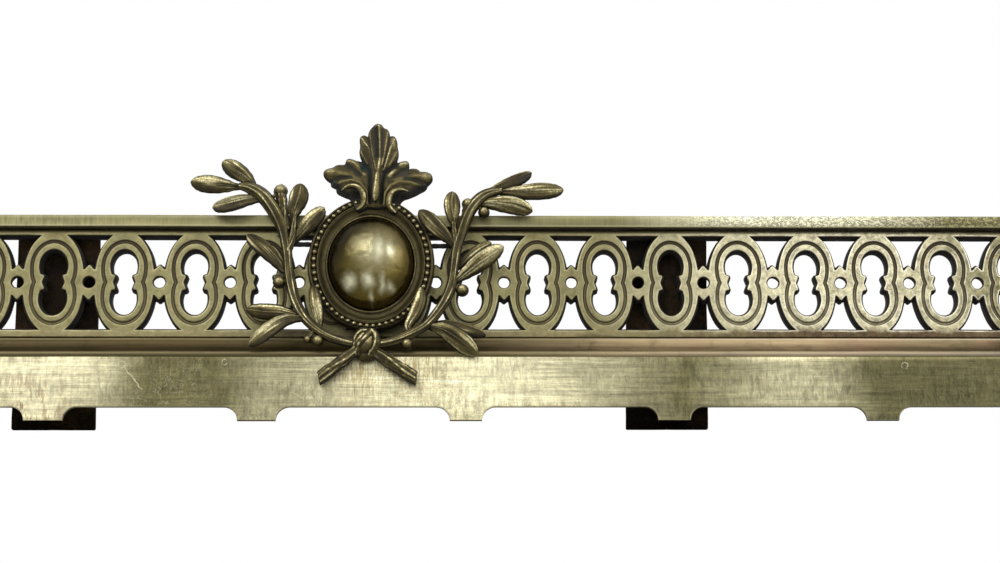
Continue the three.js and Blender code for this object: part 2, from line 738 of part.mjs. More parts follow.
const RIGHT_BRANCH = {
  stem: [
    [-4, -58, -26.5, 3.2],
    [4.5, -59, -26.5, 3.2],
    [12, -58.3, -26.5, 3.2],
    [22, -55.2, -25.5, 3.5],
    [31.2, -51, -24.5, 3.6],
    [40.4, -45, -22, 3.6],
    [48.2, -35.8, -18.5, 3.6],
    [54.6, -25.5, -16, 3.6],
    [58.6, -15.3, -14.5, 3.5],
    [60.4, -3.1, -13.5, 3.5],
    [61.8, 8.2, -13.5, 3.7],
    [64.8, 18.9, -13.5, 3.8],
    [68.4, 29.6, -13.5, 4],
    [72.8, 38.6, -14, 4.3],
    [79, 45.6, -14, 4.5],
    [86.5, 50, -14, 3.9],
    [95, 52.2, -13, 2.8],
  ],
  twig: [
    [62, 8.1, -14, 2.3],
    [61.5, 16.5, -14.5, 2.3],
    [60.4, 25.1, -14, 2],
    [60, 32, -14, 1.6],
  ],
  leaves: [
    { line: [[94, 51.5, -13.5], [109, 51, -15], [125, 51.8, -15.5], [141, 53, -12.5]], width: 12.8 },
    { line: [[87, 52.6, -13], [96, 56, -14], [106, 59.8, -14], [117.6, 66, -11.5]], width: 9.6 },
    { line: [[79, 42.4, -14], [90.4, 42.4, -15.5], [104, 41, -16], [118, 37.3, -13]], width: 12 },
    { line: [[60.4, 26, -14], [59.3, 34.6, -16], [58.9, 42.6, -15.5], [59.2, 51.6, -13]], width: 11.8 },
    { line: [[60, 12.6, -14.5], [54, 19, -17], [45.6, 26.4, -19], [34.8, 36.6, -18]], width: 12.4 },
    { line: [[61.5, -12.8, -14.5], [70.6, -6.3, -16.5], [82.2, 2.2, -17], [96.5, 12.1, -14]], width: 13.4 },
    { line: [[62.5, -2.7, -12], [70, 4.8, -11.5], [78.4, 11, -11], [87.5, 16.2, -10.5]], width: 8.6 },
    { line: [[41, -43.6, -15], [54, -43.6, -16], [67.6, -46.6, -17.5], [83.4, -50.8, -18]], width: 10.2 },
    { line: [[42, -47, -22], [52, -49.5, -25], [63.3, -56.4, -26.5], [76.9, -65.7, -26]], width: 10.6 },
    { line: [[27.5, -45.5, -22], [32.4, -36.5, -21.5], [35.6, -28.1, -21], [36.8, -18, -19]], width: 9 },
  ],
  berries: [
    { at: [70.6, 42.5, -13.5], r: 4.2 },
    { at: [82.3, 36.6, -14], r: 3.9 },
    { at: [66.4, -19, -15.5], r: 4.3 },
    { at: [27, -59.1, -27], r: 4 },
  ],
  stalk: [
    [66, 22, -12.5, 2.8],
    [69, 34, -12.5, 3.4],
    [70.6, 41, -13, 3.4],
  ],
  web: [
    [61, 13, -11],
    [44, 13, -11],
  ],
};

// The ribbon's knot with the cut ends of the two stems that it ties, grown by a clearance.
function knotSolid(clearance) {
  const [x, z] = drawn(KNOT_ACROSS, KNOT_UP);
  const rings = [
    [0.55, 4.2],
    [0.92, 2.2],
    [1, 0],
    [0.9, -2.6],
    [0.5, -4.6],
  ];
  const loops = rings.map(([share, y]) => {
    const [halfW, halfH] = [KNOT_HALF_W * share + clearance, KNOT_HALF_H * share + clearance];
    return ellipse(halfW, halfH, KNOT_DEPTH + y + Math.sign(y) * clearance, 12, x, z);
  });
  let knot = solid(loft(loops));
  for (const shift of [-4.4, 0, 4.4]) {
    const strand = [
      [KNOT_ACROSS - 5.4 + shift * 0.6, KNOT_UP - 4.6 - shift * 0.6, KNOT_DEPTH - 1],
      [KNOT_ACROSS + shift * 0.5, KNOT_UP - shift * 0.6, KNOT_DEPTH - 4.4],
      [KNOT_ACROSS + 5.4 + shift * 0.4, KNOT_UP + 4.6 - shift * 0.8, KNOT_DEPTH - 1],
    ];
    knot = knot.add(strandSolid(strand, STRAND_R + clearance));
  }
  for (const { line, r } of STEM_ENDS) knot = knot.add(strandSolid(line, r + clearance));
  return knot;
}

const STEM_ENDS = [
  { line: [[-4, -60, -26.5], [-15, -67.5, -26.5], [-35, -82.5, -26.5]], r: 3.9 },
  { line: [[-2, -60, -26.5], [9, -67.5, -26.5], [33.5, -82.7, -26.5]], r: 4.1 },
];

// The oval frame as a dish: its side, the groove of the pearl ring, the cove and the dome's seat. With a
// clearance it is a plain lump that holds the frame and its pearls.
function frameSolid(clearance) {
  const grown = (halfW, halfH, y) => {
    const back = y > FRAME_SEAT ? 1 : -1;
    return ellipse(halfW + clearance, halfH + clearance, y + back * clearance, FRAME_SIDES, BOSS_X, BOSS_Z);
  };
  const sides = [
    grown(FRAME_HALF_W - 2, FRAME_HALF_H - 2, FRAME_BACK),
    grown(FRAME_HALF_W, FRAME_HALF_H, FRAME_BACK - 2.5),
    grown(FRAME_HALF_W, FRAME_HALF_H, FRAME_FRONT + 2),
    grown(FRAME_HALF_W - 1.2, FRAME_HALF_H - 1.2, FRAME_FRONT),
  ];
  const reach = PEARL_R + GAP;
  if (clearance > 0) {
    sides.push(
      grown(PEARL_HALF_W + reach, PEARL_HALF_H + reach, FRAME_FRONT),
      grown(PEARL_HALF_W, PEARL_HALF_H, FRAME_FRONT - PEARL_R),
    );
    return solid(loft(sides));
  }
  const fillet = PEARL_HALF_W - reach - FRAME_FILLET;
  const filletH = PEARL_HALF_H - reach - FRAME_FILLET;
  const floor = FRAME_FRONT + PEARL_R;
  sides.push(
    grown(PEARL_HALF_W + reach, PEARL_HALF_H + reach, FRAME_FRONT),
    grown(PEARL_HALF_W + reach, PEARL_HALF_H + reach, floor),
    grown(PEARL_HALF_W - reach, PEARL_HALF_H - reach, floor),
    grown(PEARL_HALF_W - reach, PEARL_HALF_H - reach, FRAME_FRONT - 0.6),
    grown(fillet, filletH, FRAME_FRONT - 0.6),
    grown(fillet - 2.4, filletH - 2.6, FRAME_SEAT - 2.2),
    grown(BOSS_HALF_W + GAP + 1, BOSS_HALF_H + GAP + 1, FRAME_SEAT),
  );
  return solid(loft(sides));
}

function ovalFrameGeometry() {
  const boss = solid(turned([[LINK_BOSS_R, -GAP], [LINK_BOSS_R, FRAME_BACK - 1]], 0, OPENING_MID, 12));
  let frame = frameSolid(0).add(boss);
  for (const [x, z] of STUDS) {
    const rings = [
      [STUD_R + GAP, THROUGH],
      [STUD_R + GAP, FRAME_BACK - STUD_SINK],
    ];
    frame = frame.subtract(solid(turned(rings, x, z, STUD_SIDES)));
  }
  return geometryOf(frame);
}

function pearlRingGeometry() {
  const section = ellipse(1, 1, 0, 5).map(([u, , v]) => [u, v]);
  const loops = ellipse(PEARL_HALF_W, PEARL_HALF_H, FRAME_FRONT, PEARLS * 2, BOSS_X, BOSS_Z).map(
    ([x, y, z], i, line) => {
      const [nx, , nz] = line[(i + 1) % line.length];
      const [px, , pz] = line[(i + line.length - 1) % line.length];
      const along = new THREE.Vector2(nx - px, nz - pz).normalize();
      const r = i % 2 ? PEARL_R * 0.55 : PEARL_R;
      return section.map(([u, v]) => [x - along.y * u * r, y - v * r, z + along.x * u * r]);
    },
  );
  return loft(loops, true);
}

function domeGeometry() {
  const rise = FRAME_SEAT - GAP - BOSS_APEX;
  const rings = [
    [1, 0],
    [1, 0.08],
    [0.955, 0.3],
    [0.83, 0.58],
    [0.6, 0.82],
    [0.32, 0.955],
    [0.08, 1],
  ];
  return loft(
    rings.map(([share, lift]) => {
      const y = FRAME_SEAT - GAP - rise * lift;
      return ellipse(BOSS_HALF_W * share, BOSS_HALF_H * share, y, DOME_SIDES, BOSS_X, BOSS_Z);
    }),
  );
}

// The acanthus crest: half its outline, from the top down to its foot, in drawn millimetres.
const CREST_HALF = [
  [0, 99],
  [4, 97.5],
  [6.4, 93.5],
  [7, 90.5],
  [11.3, 90.8],
  [13.9, 87],
  [14.2, 82],
  [13, 75],
  [12, 71],
  [17, 73],
  [21.8, 73.2],
  [23.6, 69.6],
  [29.7, 69.2],
  [35.5, 67.4],
  [39.5, 64.2],
  [37.5, 59.5],
  [34.7, 56.6],
  [29.4, 52],
  [19, 47.5],
  [8, 44],
];
const CREST_LOBES = [
  { line: [[2, 58, -15], [6, 74, -17], [11.5, 88.5, -15]], width: 9.5 },
  { line: [[3, 52, -15], [10, 64, -17], [21, 72.4, -15]], width: 9 },
  { line: [[4, 47, -15], [17, 58, -18], [38, 64, -15]], width: 15 },
];
const VOLUTE = [
  [22.5, 53, -15.5],
  [16.5, 54.5, -16.8],
  [11.4, 52.2, -17.2],
  [9, 47, -18.2],
  [9.6, 42.4, -19],
  [13.3, 38.7, -19],
];

function leaning([across, up, depth]) {
  return [across + up * CREST_LEAN, up, depth];
}

function crestGeometry() {
  const other = CREST_HALF.slice(1).reverse().map(([across, up]) => [-across, up]);
  const outline = [...CREST_HALF, ...other].map((point) => drawn(...leaning(point)));
  let crest = solid(plate([shapeOf(outline)], CREST_FACE, CREST_BACK));
  crest = crest.add(leafSolid([[0, 44, -16], [0, 66, -19], [0, 82, -17.5], [0, 99, -15]].map(leaning), 15));
  for (const side of [-1, 1]) {
    const turn = ([across, up, depth]) => leaning([across * side, up, depth]);
    for (const { line, width } of CREST_LOBES) crest = crest.add(leafSolid(line.map(turn), width));
    crest = crest.add(strandSolid(VOLUTE.map(turn), VOLUTE_R));
  }
  return geometryOf(crest.subtract(frameSolid(GAP)));
}

// ---------------------------------------------------------------- the ornament's fixings

const STUDS = [
  [-SIDE_STUD_X, OPENING_MID + LOBE_RISE],
  [0, OPENING_MID],
  [SIDE_STUD_X, OPENING_MID + LOBE_RISE],
];

function clampGeometry() {
  const middleZ = OPENING_MID + LOBE_RISE / 2;
  const outline = [
    [-CLAMP_HALF_L, middleZ - CLAMP_HALF_H],
    [CLAMP_HALF_L, middleZ - CLAMP_HALF_H],
    [CLAMP_HALF_L, middleZ + CLAMP_HALF_H],
    [-CLAMP_HALF_L, middleZ + CLAMP_HALF_H],
  ];
  const rings = [
    [STUD_R + GAP, CLAMP_BACK + THROUGH],
    [STUD_R + GAP, CLAMP_FRONT - THROUGH],
  ];
  const holes = STUDS.map(([x, z]) => solid(turned(rings, x, z, STUD_SIDES)));
  return bored(plate([shapeOf(outline)], CLAMP_FRONT, CLAMP_BACK), holes);
}

function studGeometry([x, z]) {
  const rings = [
    [STUD_R, CLAMP_BACK + NUT_THICK + THROUGH],
    [STUD_R, FRAME_BACK - STUD_SINK + GAP],
  ];
  return turned(rings, x, z, STUD_SIDES);
}

function nutGeometry([x, z]) {
  const near = CLAMP_BACK + GAP;
  const rings = [
    [NUT_ACROSS / Math.sqrt(3), near + NUT_THICK],
    [NUT_ACROSS / Math.sqrt(3), near],
  ];
  const hole = [
    [STUD_R + GAP, near + NUT_THICK + THROUGH],
    [STUD_R + GAP, near - THROUGH],
  ];
  return bored(turned(rings, x, z, 6), [solid(turned(hole, x, z, STUD_SIDES))]);
}

// ---------------------------------------------------------------- assembly

function piece(name, geometry, material) {
  const mesh = new THREE.Mesh(geometry, material);
  mesh.name = name;
  return mesh;
}

// The rail, moulding, plinth, straps and rivets of one run.
function runPieces(run) {
  const rail = bored(bar(topRailProfile(), run.start, run.end), rivetBores(run, RAIL_RIVET_Z));
  const moulding = bar(baseMouldingProfile(), run.start, run.end);
  const pieces = [
    piece(`top_rail_${run.name}`, rail, railBrass),
    piece(`base_moulding_${run.name}`, bored(moulding, rivetBores(run, MOULDING_RIVET_Z)), mouldingBrass),
    piece(`plinth_${run.name}`, plinthGeometry(run), plinthBrass),
  ];
  run.straps.forEach((x, i) => pieces.push(piece(`strap_${run.name}_${i + 1}`, strapGeometry(x), iron)));
  rivetRows(run).forEach((x, i) => {
    pieces.push(piece(`rivet_${run.name}_rail_${i + 1}`, rivetGeometry(x, RAIL_RIVET_Z), rivetIron));
    pieces.push(piece(`rivet_${run.name}_base_${i + 1}`, rivetGeometry(x, MOULDING_RIVET_Z), rivetIron));
  });
  return pieces;
}

function frontPanels() {
  const count = FRONT_CELLS / PANEL_CELLS;
  return Array.from({ length: count }, (_, i) => {
    const x0 = -HALF_FRONT + i * PANEL_CELLS * PITCH;
    const x1 = x0 + PANEL_CELLS * PITCH;
    const start = i === 0 ? FRONT.start : () => x0 + GAP / 2;
    const end = i === count - 1 ? FRONT.end : () => x1 - GAP / 2;
    const stileAt = [x0, x1].filter((x) => Math.abs(x) === HALF_FRONT);
    const geometry = galleryPanel(start, end, x0, PANEL_CELLS, stileAt);
    return piece(`gallery_front_${i + 1}`, geometry, galleryBrass);
  });
}

function returnPanel(run, x0) {
  const geometry = galleryPanel(run.start, run.end, x0, RETURN_CELLS, [x0, x0 + RETURN_DEPTH]);
  return piece(`gallery_${run.name}`, geometry, galleryBrass);
}

function ornamentPieces() {
  return [
    piece("oval_frame", ovalFrameGeometry(), bronze),
    piece("pearl_ring", pearlRingGeometry(), bronze),
    piece("domed_boss", domeGeometry(), domeBrass),
    piece("acanthus_crest", crestGeometry(), bronze),
    piece("laurel_branch_left", geometryOf(branchSolid(LEFT_BRANCH)), bronze),
    piece("laurel_branch_right", geometryOf(branchSolid(RIGHT_BRANCH)), bronze),
    piece("ribbon_knot", geometryOf(knotSolid(0)), bronze),
    piece("clamp_plate", clampGeometry(), iron),
    ...STUDS.map((at, i) => piece(`stud_${i + 1}`, studGeometry(at), studBrass)),
    ...STUDS.map((at, i) => piece(`nut_${i + 1}`, nutGeometry(at), studBrass)),
  ];
}

const front = new THREE.Group();
front.add(...frontPanels(), ...runPieces(FRONT), ...ornamentPieces());
front.add(piece("angle_iron_left", angleIronGeometry(-1), iron));
front.add(piece("angle_iron_right", angleIronGeometry(1), iron));

const leftReturn = new THREE.Group();
leftReturn.position.x = -HALF_FRONT;
leftReturn.rotation.z = -Math.PI / 2;
leftReturn.add(returnPanel(LEFT, -RETURN_DEPTH), ...runPieces(LEFT));

const rightReturn = new THREE.Group();
rightReturn.position.x = HALF_FRONT;
rightReturn.rotation.z = Math.PI / 2;
rightReturn.add(returnPanel(RIGHT, 0), ...runPieces(RIGHT));

const fender = new THREE.Group();
fender.add(front, leftReturn, rightReturn);

// The part's origin is the middle of its bounding box, on the floor.
fender.updateMatrixWorld(true);
const box = new THREE.Box3().setFromObject(fender, true);
fender.position.y = -(box.min.y + box.max.y) / 2;

export default fender;
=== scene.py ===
"""Fire fender: the visual model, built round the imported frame. Sizes and drawn shapes are in millimetres and
scaled when a piece is made. Materials, lamps and the camera are in metres."""
import math

import bpy
import bmesh
import numpy as np
from mathutils import Matrix, Vector, noise
from mathutils.geometry import delaunay_2d_cdt, tessellate_polygon


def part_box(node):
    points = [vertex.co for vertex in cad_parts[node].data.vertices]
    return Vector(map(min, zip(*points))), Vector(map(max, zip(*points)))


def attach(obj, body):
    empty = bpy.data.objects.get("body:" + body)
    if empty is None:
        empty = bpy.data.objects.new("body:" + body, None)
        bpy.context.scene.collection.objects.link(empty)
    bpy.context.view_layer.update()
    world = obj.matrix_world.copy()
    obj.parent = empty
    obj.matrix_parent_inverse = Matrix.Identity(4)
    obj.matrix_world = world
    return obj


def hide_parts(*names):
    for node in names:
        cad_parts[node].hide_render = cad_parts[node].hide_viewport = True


noise.seed_set(7)                   # without it the noise, and so every worn shape, changes with the clock
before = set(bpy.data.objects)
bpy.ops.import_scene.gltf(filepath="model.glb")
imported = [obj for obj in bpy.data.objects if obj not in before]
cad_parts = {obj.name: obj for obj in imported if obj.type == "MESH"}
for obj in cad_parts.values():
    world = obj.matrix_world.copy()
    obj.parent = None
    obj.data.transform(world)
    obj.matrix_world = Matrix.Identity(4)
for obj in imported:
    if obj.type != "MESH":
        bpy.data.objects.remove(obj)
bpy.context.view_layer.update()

# ------------------------------------------------------------------ sizes, in millimetres, as in the CAD
PITCH = 50.0
FRONT_CELLS = 24
RETURN_CELLS = 6
HALF_FRONT = FRONT_CELLS * PITCH / 2
RETURN_DEPTH = RETURN_CELLS * PITCH
SET_BACK = 0.2                      # of each piece from a mitre's plane
GALLERY_BOTTOM, GALLERY_TOP, GALLERY_THICK = 65.0, 146.7, 10.0
OPENING_MID, OPENING_HALF = 106.45, 35.65
STILE = 6.0
OVAL_W, OVAL_H, OVAL_POWER = 21.5, 38.7, 2.15
REAR = 14.0
BOSS_X, BOSS_Z, BOSS_W, BOSS_H = 3.4, 117.0, 30.9, 34.6
DATUM_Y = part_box("gallery_front_2")[0][1] * 1000    # row Y of the front gallery's face


def front_place(s, d, z):
    return Vector((s, DATUM_Y + d, z))


def right_place(s, d, z):
    return Vector((HALF_FRONT - d, DATUM_Y + s, z))


def left_place(s, d, z):
    return Vector((-HALF_FRONT + d, DATUM_Y + s, z))


RUNS = {
    "front": (front_place, lambda d: -(HALF_FRONT - d - SET_BACK), lambda d: HALF_FRONT - d - SET_BACK),
    "left": (left_place, lambda d: d + SET_BACK, lambda d: RETURN_DEPTH),
    "right": (right_place, lambda d: d + SET_BACK, lambda d: RETURN_DEPTH),
}


# How far the old front's parts stand from their even places: (place along the front, offset).
GALLERY_DRIFT = [(-600, 0), (-300, -5.0), (-250, -4.7), (-200, -2.7), (-150, -1.5), (-100, 0.2), (100, 0.5),
                 (150, 0), (200, -0.9), (250, -2.8), (300, -1.3), (350, -1.3), (400, -0.4), (450, 0.3),
                 (600, 0)]
PLINTH_DRIFT = [(-600, 0), (-225, -1.4), (-75, -1.0), (225, -4.2), (375, -5.0), (480, -4.0), (600, 0)]


def uneven(x, table):
    for (x0, v0), (x1, v1) in zip(table, table[1:]):
        if x <= x1:
            return v0 + (v1 - v0) * (x - x0) / (x1 - x0)
    return 0.0


# ------------------------------------------------------------------ mesh making
class Shell:
    """Points and faces of a piece, with how rubbed or lit by a painted highlight (edge) and how dirty or
    darkened by painted shade each point is.
    """

    def __init__(self):
        self.points, self.faces, self.edge, self.dirt_and_shade = [], [], [], []

    def loop(self, points, edge=0.0, dirt_and_shade=0.0):
        first = len(self.points)
        for p in points:
            self.points.append(Vector(p))
            self.edge.append(edge)
            self.dirt_and_shade.append(dirt_and_shade)
        return list(range(first, len(self.points)))

    def line(self, items):
        """items are (point, rub or painted highlight, dirt or painted shade)."""
        return [self.loop([p], edge, dirt_and_shade)[0] for p, edge, dirt_and_shade in items]

    def band(self, a, b, closed=True):
        for i in range(len(a) if closed else len(a) - 1):
            j = (i + 1) % len(a)
            self.faces.append((a[i], a[j], b[j], b[i]))

    def bands(self, loops):
        """A band between each closed loop and the next."""
        for a, b in zip(loops, loops[1:]):
            self.band(a, b)

    def fan(self, ring, centre, edge=0.0, dirt_and_shade=0.0):
        c = self.loop([centre], edge, dirt_and_shade)[0]
        for i in range(len(ring)):
            self.faces.append((ring[i], ring[(i + 1) % len(ring)], c))

    def fill(self, *rings):
        """Flat faces inside the first ring and outside the others."""
        flat = [[self.points[i] for i in ring] for ring in rings]
        order = [i for ring in rings for i in ring]
        for a, b, c in tessellate_polygon(flat):
            self.faces.append((order[a], order[b], order[c]))

    def capped(self, loops):
        """A tube of closed loops with a flat end at either side."""
        self.bands(loops)
        self.fill(loops[0])
        self.fill(loops[-1])

    def piece(self, name, material, angle=40):
        mesh = bpy.data.meshes.new(name)
        mesh.from_pydata([p * 0.001 for p in self.points], [], self.faces)
        for key, values in (("edge", self.edge), ("dirt_and_shade", self.dirt_and_shade)):
            mesh.attributes.new(key, "FLOAT", "POINT").data.foreach_set("value", values)
        bm = bmesh.new()
        bm.from_mesh(mesh)
        bmesh.ops.recalc_face_normals(bm, faces=bm.faces)
        bm.to_mesh(mesh)
        bm.free()
        mesh.polygons.foreach_set("use_smooth", [True] * len(mesh.polygons))
        mesh.set_sharp_from_angle(angle=math.radians(angle))
        mesh.materials.append(material)
        obj = bpy.data.objects.new(name, mesh)
        bpy.context.collection.objects.link(obj)
        return obj


def dress(obj, slot, *nodes):
    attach(obj, "root")
    if nodes:
        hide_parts(*nodes)
    return obj


def grown(ring, by):
    """A closed anticlockwise outline (x, z) moved outwards."""
    out = []
    n = len(ring)
    for i, (x, z) in enumerate(ring):
        px, pz = ring[i - 1]
        qx, qz = ring[(i + 1) % n]
        a = Vector((z - pz, px - x))
        b = Vector((qz - z, x - qx))
        a.normalize()
        b.normalize()
        m = a + b
        if m.length < 0.3:
            m = a
        m.normalize()
        m *= by / max(0.5, m.dot(a))
        out.append((x + m.x, z + m.y))
    return out


def wobble(p, size, reach):
    """p moved by smooth noise, as a casting is never quite true."""
    return p + noise.noise_vector(p / size) * reach


def smooth_line(points, count):
    """count + 1 points [x, y, z] at even steps of a smooth line through the given ones."""
    pts = [Vector(p) for p in points]
    pts = [pts[0] * 2 - pts[1]] + pts + [pts[-1] * 2 - pts[-2]]
    fine = []
    for i in range(1, len(pts) - 2):
        a, b, c, d = pts[i - 1:i + 3]
        for k in range(16):
            t = k / 16
            fine.append(0.5 * ((2 * b) + (c - a) * t + (2 * a - 5 * b + 4 * c - d) * t * t
                               + (3 * b - a - 3 * c + d) * t ** 3))
    fine.append(pts[-2])
    lengths = [0.0]
    for p, q in zip(fine, fine[1:]):
        lengths.append(lengths[-1] + (q - p).length)
    out, j = [], 0
    for k in range(count + 1):
        at = lengths[-1] * k / count
        while j < len(lengths) - 2 and lengths[j + 1] < at:
            j += 1
        span = lengths[j + 1] - lengths[j] or 1.0
        out.append(fine[j].lerp(fine[j + 1], (at - lengths[j]) / span))
    return out


# ------------------------------------------------------------------ material nodes
class Nodes:
    """A small shorthand for building a material's nodes."""

    def __init__(self, name):
        self.mat = bpy.data.materials.new(name)
        self.mat.use_nodes = True
        self.tree = self.mat.node_tree
        self.tree.nodes.clear()
        self.out = self.tree.nodes.new("ShaderNodeOutputMaterial")
        self.shader = self.tree.nodes.new("ShaderNodeBsdfPrincipled")
        self.join(self.shader.outputs[0], self.out.inputs[0])
        self.coords = self.tree.nodes.new("ShaderNodeTexCoord").outputs["Object"]

    def join(self, a, b):
        self.tree.links.new(a, b)

    def put(self, socket, value):
        if isinstance(value, bpy.types.NodeSocket):
            self.join(value, socket)
        else:
            socket.default_value = value

    def scaled(self, x, y, z, shift=(0, 0, 0)):
        node = self.tree.nodes.new("ShaderNodeMapping")
        node.inputs["Scale"].default_value = (x, y, z)
        node.inputs["Location"].default_value = shift
        self.join(self.coords, node.inputs["Vector"])
        return node.outputs[0]

    def noise(self, scale, detail=3.0, rough=0.55, vector=None, distort=0.0):
        node = self.tree.nodes.new("ShaderNodeTexNoise")
        node.inputs["Scale"].default_value = scale
        node.inputs["Detail"].default_value = detail
        node.inputs["Roughness"].default_value = rough
        node.inputs["Distortion"].default_value = distort
        self.join(vector or self.coords, node.inputs["Vector"])
        return node.outputs["Fac"]

    def ramp(self, value, low, high, to_low=0.0, to_high=1.0):
        node = self.tree.nodes.new("ShaderNodeMapRange")
        node.clamp = True
        for key, number in zip(("From Min", "From Max", "To Min", "To Max"), (low, high, to_low, to_high)):
            node.inputs[key].default_value = number
        self.join(value, node.inputs["Value"])
        return node.outputs[0]

    def math(self, kind, a, b=0.0):
        node = self.tree.nodes.new("ShaderNodeMath")
        node.operation = kind
        self.put(node.inputs[0], a)
        self.put(node.inputs[1], b)
        return node.outputs[0]

    def times(self, a, b):
        return self.math("MULTIPLY", a, b)

    def plus(self, a, b):
        return self.math("ADD", a, b)

    def minus(self, a, b):
        return self.math("SUBTRACT", a, b)

    def away(self, u, v):
        """The distance of a point (u, v) from the origin."""
        return self.math("SQRT", self.plus(self.times(u, u), self.times(v, v)))

    def mix(self, fac, a, b, kind="MIX"):
        node = self.tree.nodes.new("ShaderNodeMix")
        node.data_type = "RGBA"
        node.blend_type = kind
        self.put(node.inputs[0], fac)
        for socket, value in ((node.inputs[6], a), (node.inputs[7], b)):
            self.put(socket, value if isinstance(value, bpy.types.NodeSocket) else (*value, 1.0))
        return node.outputs[2]

    def attribute(self, name):
        node = self.tree.nodes.new("ShaderNodeAttribute")
        node.attribute_name = name
        return node.outputs["Fac"]

    def axis(self, letter):
        node = self.tree.nodes.new("ShaderNodeSeparateXYZ")
        self.join(self.coords, node.inputs[0])
        return node.outputs[letter]

    def stops(self, value, points):
        """A colour ramp through (position, colour) stops."""
        node = self.tree.nodes.new("ShaderNodeValToRGB")
        ramp = node.color_ramp
        while len(ramp.elements) < len(points):
            ramp.elements.new(0.5)
        for element, (position, colour) in zip(ramp.elements, points):
            element.position = position
            element.color = (*colour, 1.0)
        self.join(value, node.inputs[0])
        return node.outputs[0]

    def painted_reflections(self, places):
        """Painted reflections along the front: soft bright patches of (middle, half length, strength)."""
        x = self.plus(self.axis("X"), self.ramp(self.noise(14, 3), 0.3, 0.7, -0.02, 0.02))
        total = 0.0
        for middle, half, strength in places:
            far = self.math("ABSOLUTE", self.minus(x, middle))
            total = self.math("MAXIMUM", total, self.ramp(far, 0.25 * half, half, strength, 0.0))
        return total

    def shade(self, colour, factor):
        """A colour made darker or lighter by a number round 1."""
        mixed = self.mix(1.0, colour, factor, "MULTIPLY")
        mixed.node.clamp_result = True
        return mixed

    def tint(self, colour, mask, amount, tone):
        """A colour turned towards a tone by up to an amount, where the mask says."""
        return self.mix(self.times(mask, amount), colour, tone)

    def bump(self, height, distance, normal=None):
        node = self.tree.nodes.new("ShaderNodeBump")
        node.inputs["Distance"].default_value = distance
        self.join(height, node.inputs["Height"])
        if normal:
            self.join(normal, node.inputs["Normal"])
        return node.outputs[0]

    def soiled_and_shaded(self, colour, metallic, roughness, normal, brown, black):
        """Finish with dirt and painted shade: halfway it is brown on the metal, and in full a dull near black.
        """
        dirt_and_shade = self.times(self.attribute(DIRT_AND_SHADE), self.ramp(self.noise(90, 3), 0.2, 0.5, 0.85, 1.0))
        colour = self.mix(self.ramp(dirt_and_shade, 0.0, 0.5), colour, brown)
        colour = self.mix(self.ramp(dirt_and_shade, 0.5, 0.95), colour, black)
        dull = self.ramp(dirt_and_shade, 0.15, 0.8, 0.0, 0.9)
        bright = self.times(self.ramp(dirt_and_shade, 0.1, 0.9, 1.0, 0.0), metallic)
        return self.finish(colour, bright, self.math("MAXIMUM", roughness, dull), normal)

    def finish(self, colour, metallic, roughness, normal=None):
        self.put(self.shader.inputs["Base Color"], (*colour, 1.0) if isinstance(colour, tuple) else colour)
        self.put(self.shader.inputs["Metallic"], metallic)
        self.put(self.shader.inputs["Roughness"], roughness)
        if normal:
            self.join(normal, self.shader.inputs["Normal"])
        return self.mat


def rgb(red, green, blue):
    """An sRGB colour, 0 to 255, as the linear one that nodes take."""
    return tuple((c / 255 / 12.92) if c < 11 else ((c / 255 + 0.055) / 1.055) ** 2.4
                 for c in (red, green, blue))


# ------------------------------------------------------------------ materials
# mesh values: rub and painted highlight, and dirt and painted shade
RUB_AND_HIGHLIGHT, DIRT_AND_SHADE = "edge", "dirt_and_shade"


def gallery_material():
    """Cast brass: khaki flats, paler with a painted reflection and mottled to the right, brown in the cut
    lines, and painted shade on the walls, under the rail and beside the ornament.
    """
    n = Nodes("gallery_cast_brass")
    # painted reflection: paler brass round 330 mm right of the middle
    flats = n.mix(n.painted_reflections([(0.33, 0.16, 1.0)]), rgb(148, 141, 98), rgb(234, 226, 186))
    foot = n.mix(n.ramp(n.axis("X"), 0.2, 0.32), rgb(150, 140, 100), rgb(112, 92, 66))
    # painted shade: the foot darker next to the ornament
    ornament_shade = n.ramp(n.math("ABSOLUTE", n.axis("X")), 0.07, 0.13, 0.72, 1.0)
    foot = n.shade(foot, ornament_shade)
    low = n.plus(n.axis("Z"), n.ramp(n.noise(60, 3), 0.3, 0.7, -0.002, 0.002))
    colour = n.mix(n.ramp(low, 0.0685, 0.0735), foot, flats)
    right = n.ramp(n.axis("X"), 0.18, 0.33)
    cloud = n.ramp(n.noise(30, 4, 0.6), 0.34, 0.66, 0.86, 1.08)
    colour = n.shade(colour, cloud)
    mottle = n.ramp(n.noise(230, 5, 0.75, distort=0.5), 0.34, 0.62)
    depth = n.ramp(right, 0, 1, 0.78, 0.36)
    colour = n.shade(colour, n.mix(mottle, n.mix(1.0, (1, 1, 1), depth, "MULTIPLY"), (1.08, 1.08, 1.08)))
    grime = n.ramp(n.noise(62, 5, 0.65, distort=0.6), 0.55, 0.76)
    colour = n.tint(colour, grime, 0.45, rgb(104, 90, 56))
    specks = n.ramp(n.noise(700, 3, 0.6), 0.66, 0.74)
    colour = n.tint(colour, specks, 0.5, rgb(66, 56, 34))
    # rubbed edges and painted highlights on the bevels, stronger to the right
    rub_and_highlight = n.times(n.attribute(RUB_AND_HIGHLIGHT), n.ramp(n.noise(140, 3), 0.28, 0.58))
    rub_and_highlight = n.times(rub_and_highlight, n.ramp(right, 0, 1, 0.55, 0.95))
    colour = n.mix(rub_and_highlight, colour, n.mix(right, rgb(200, 193, 152), rgb(252, 246, 222)))
    grain = n.noise(900, 4, 0.7)
    height = n.mix(0.5, n.mix(grain, (0, 0, 0), (1, 1, 1)), n.mix(mottle, (0, 0, 0), (1, 1, 1)))
    normal = n.bump(height, 0.00014, n.bump(n.noise(120, 3), 0.0004))
    rough = n.ramp(grime, 0, 1, 0.42, 0.6)
    return n.soiled_and_shaded(colour, 0.72, rough, normal, rgb(70, 59, 32), rgb(15, 12, 6))


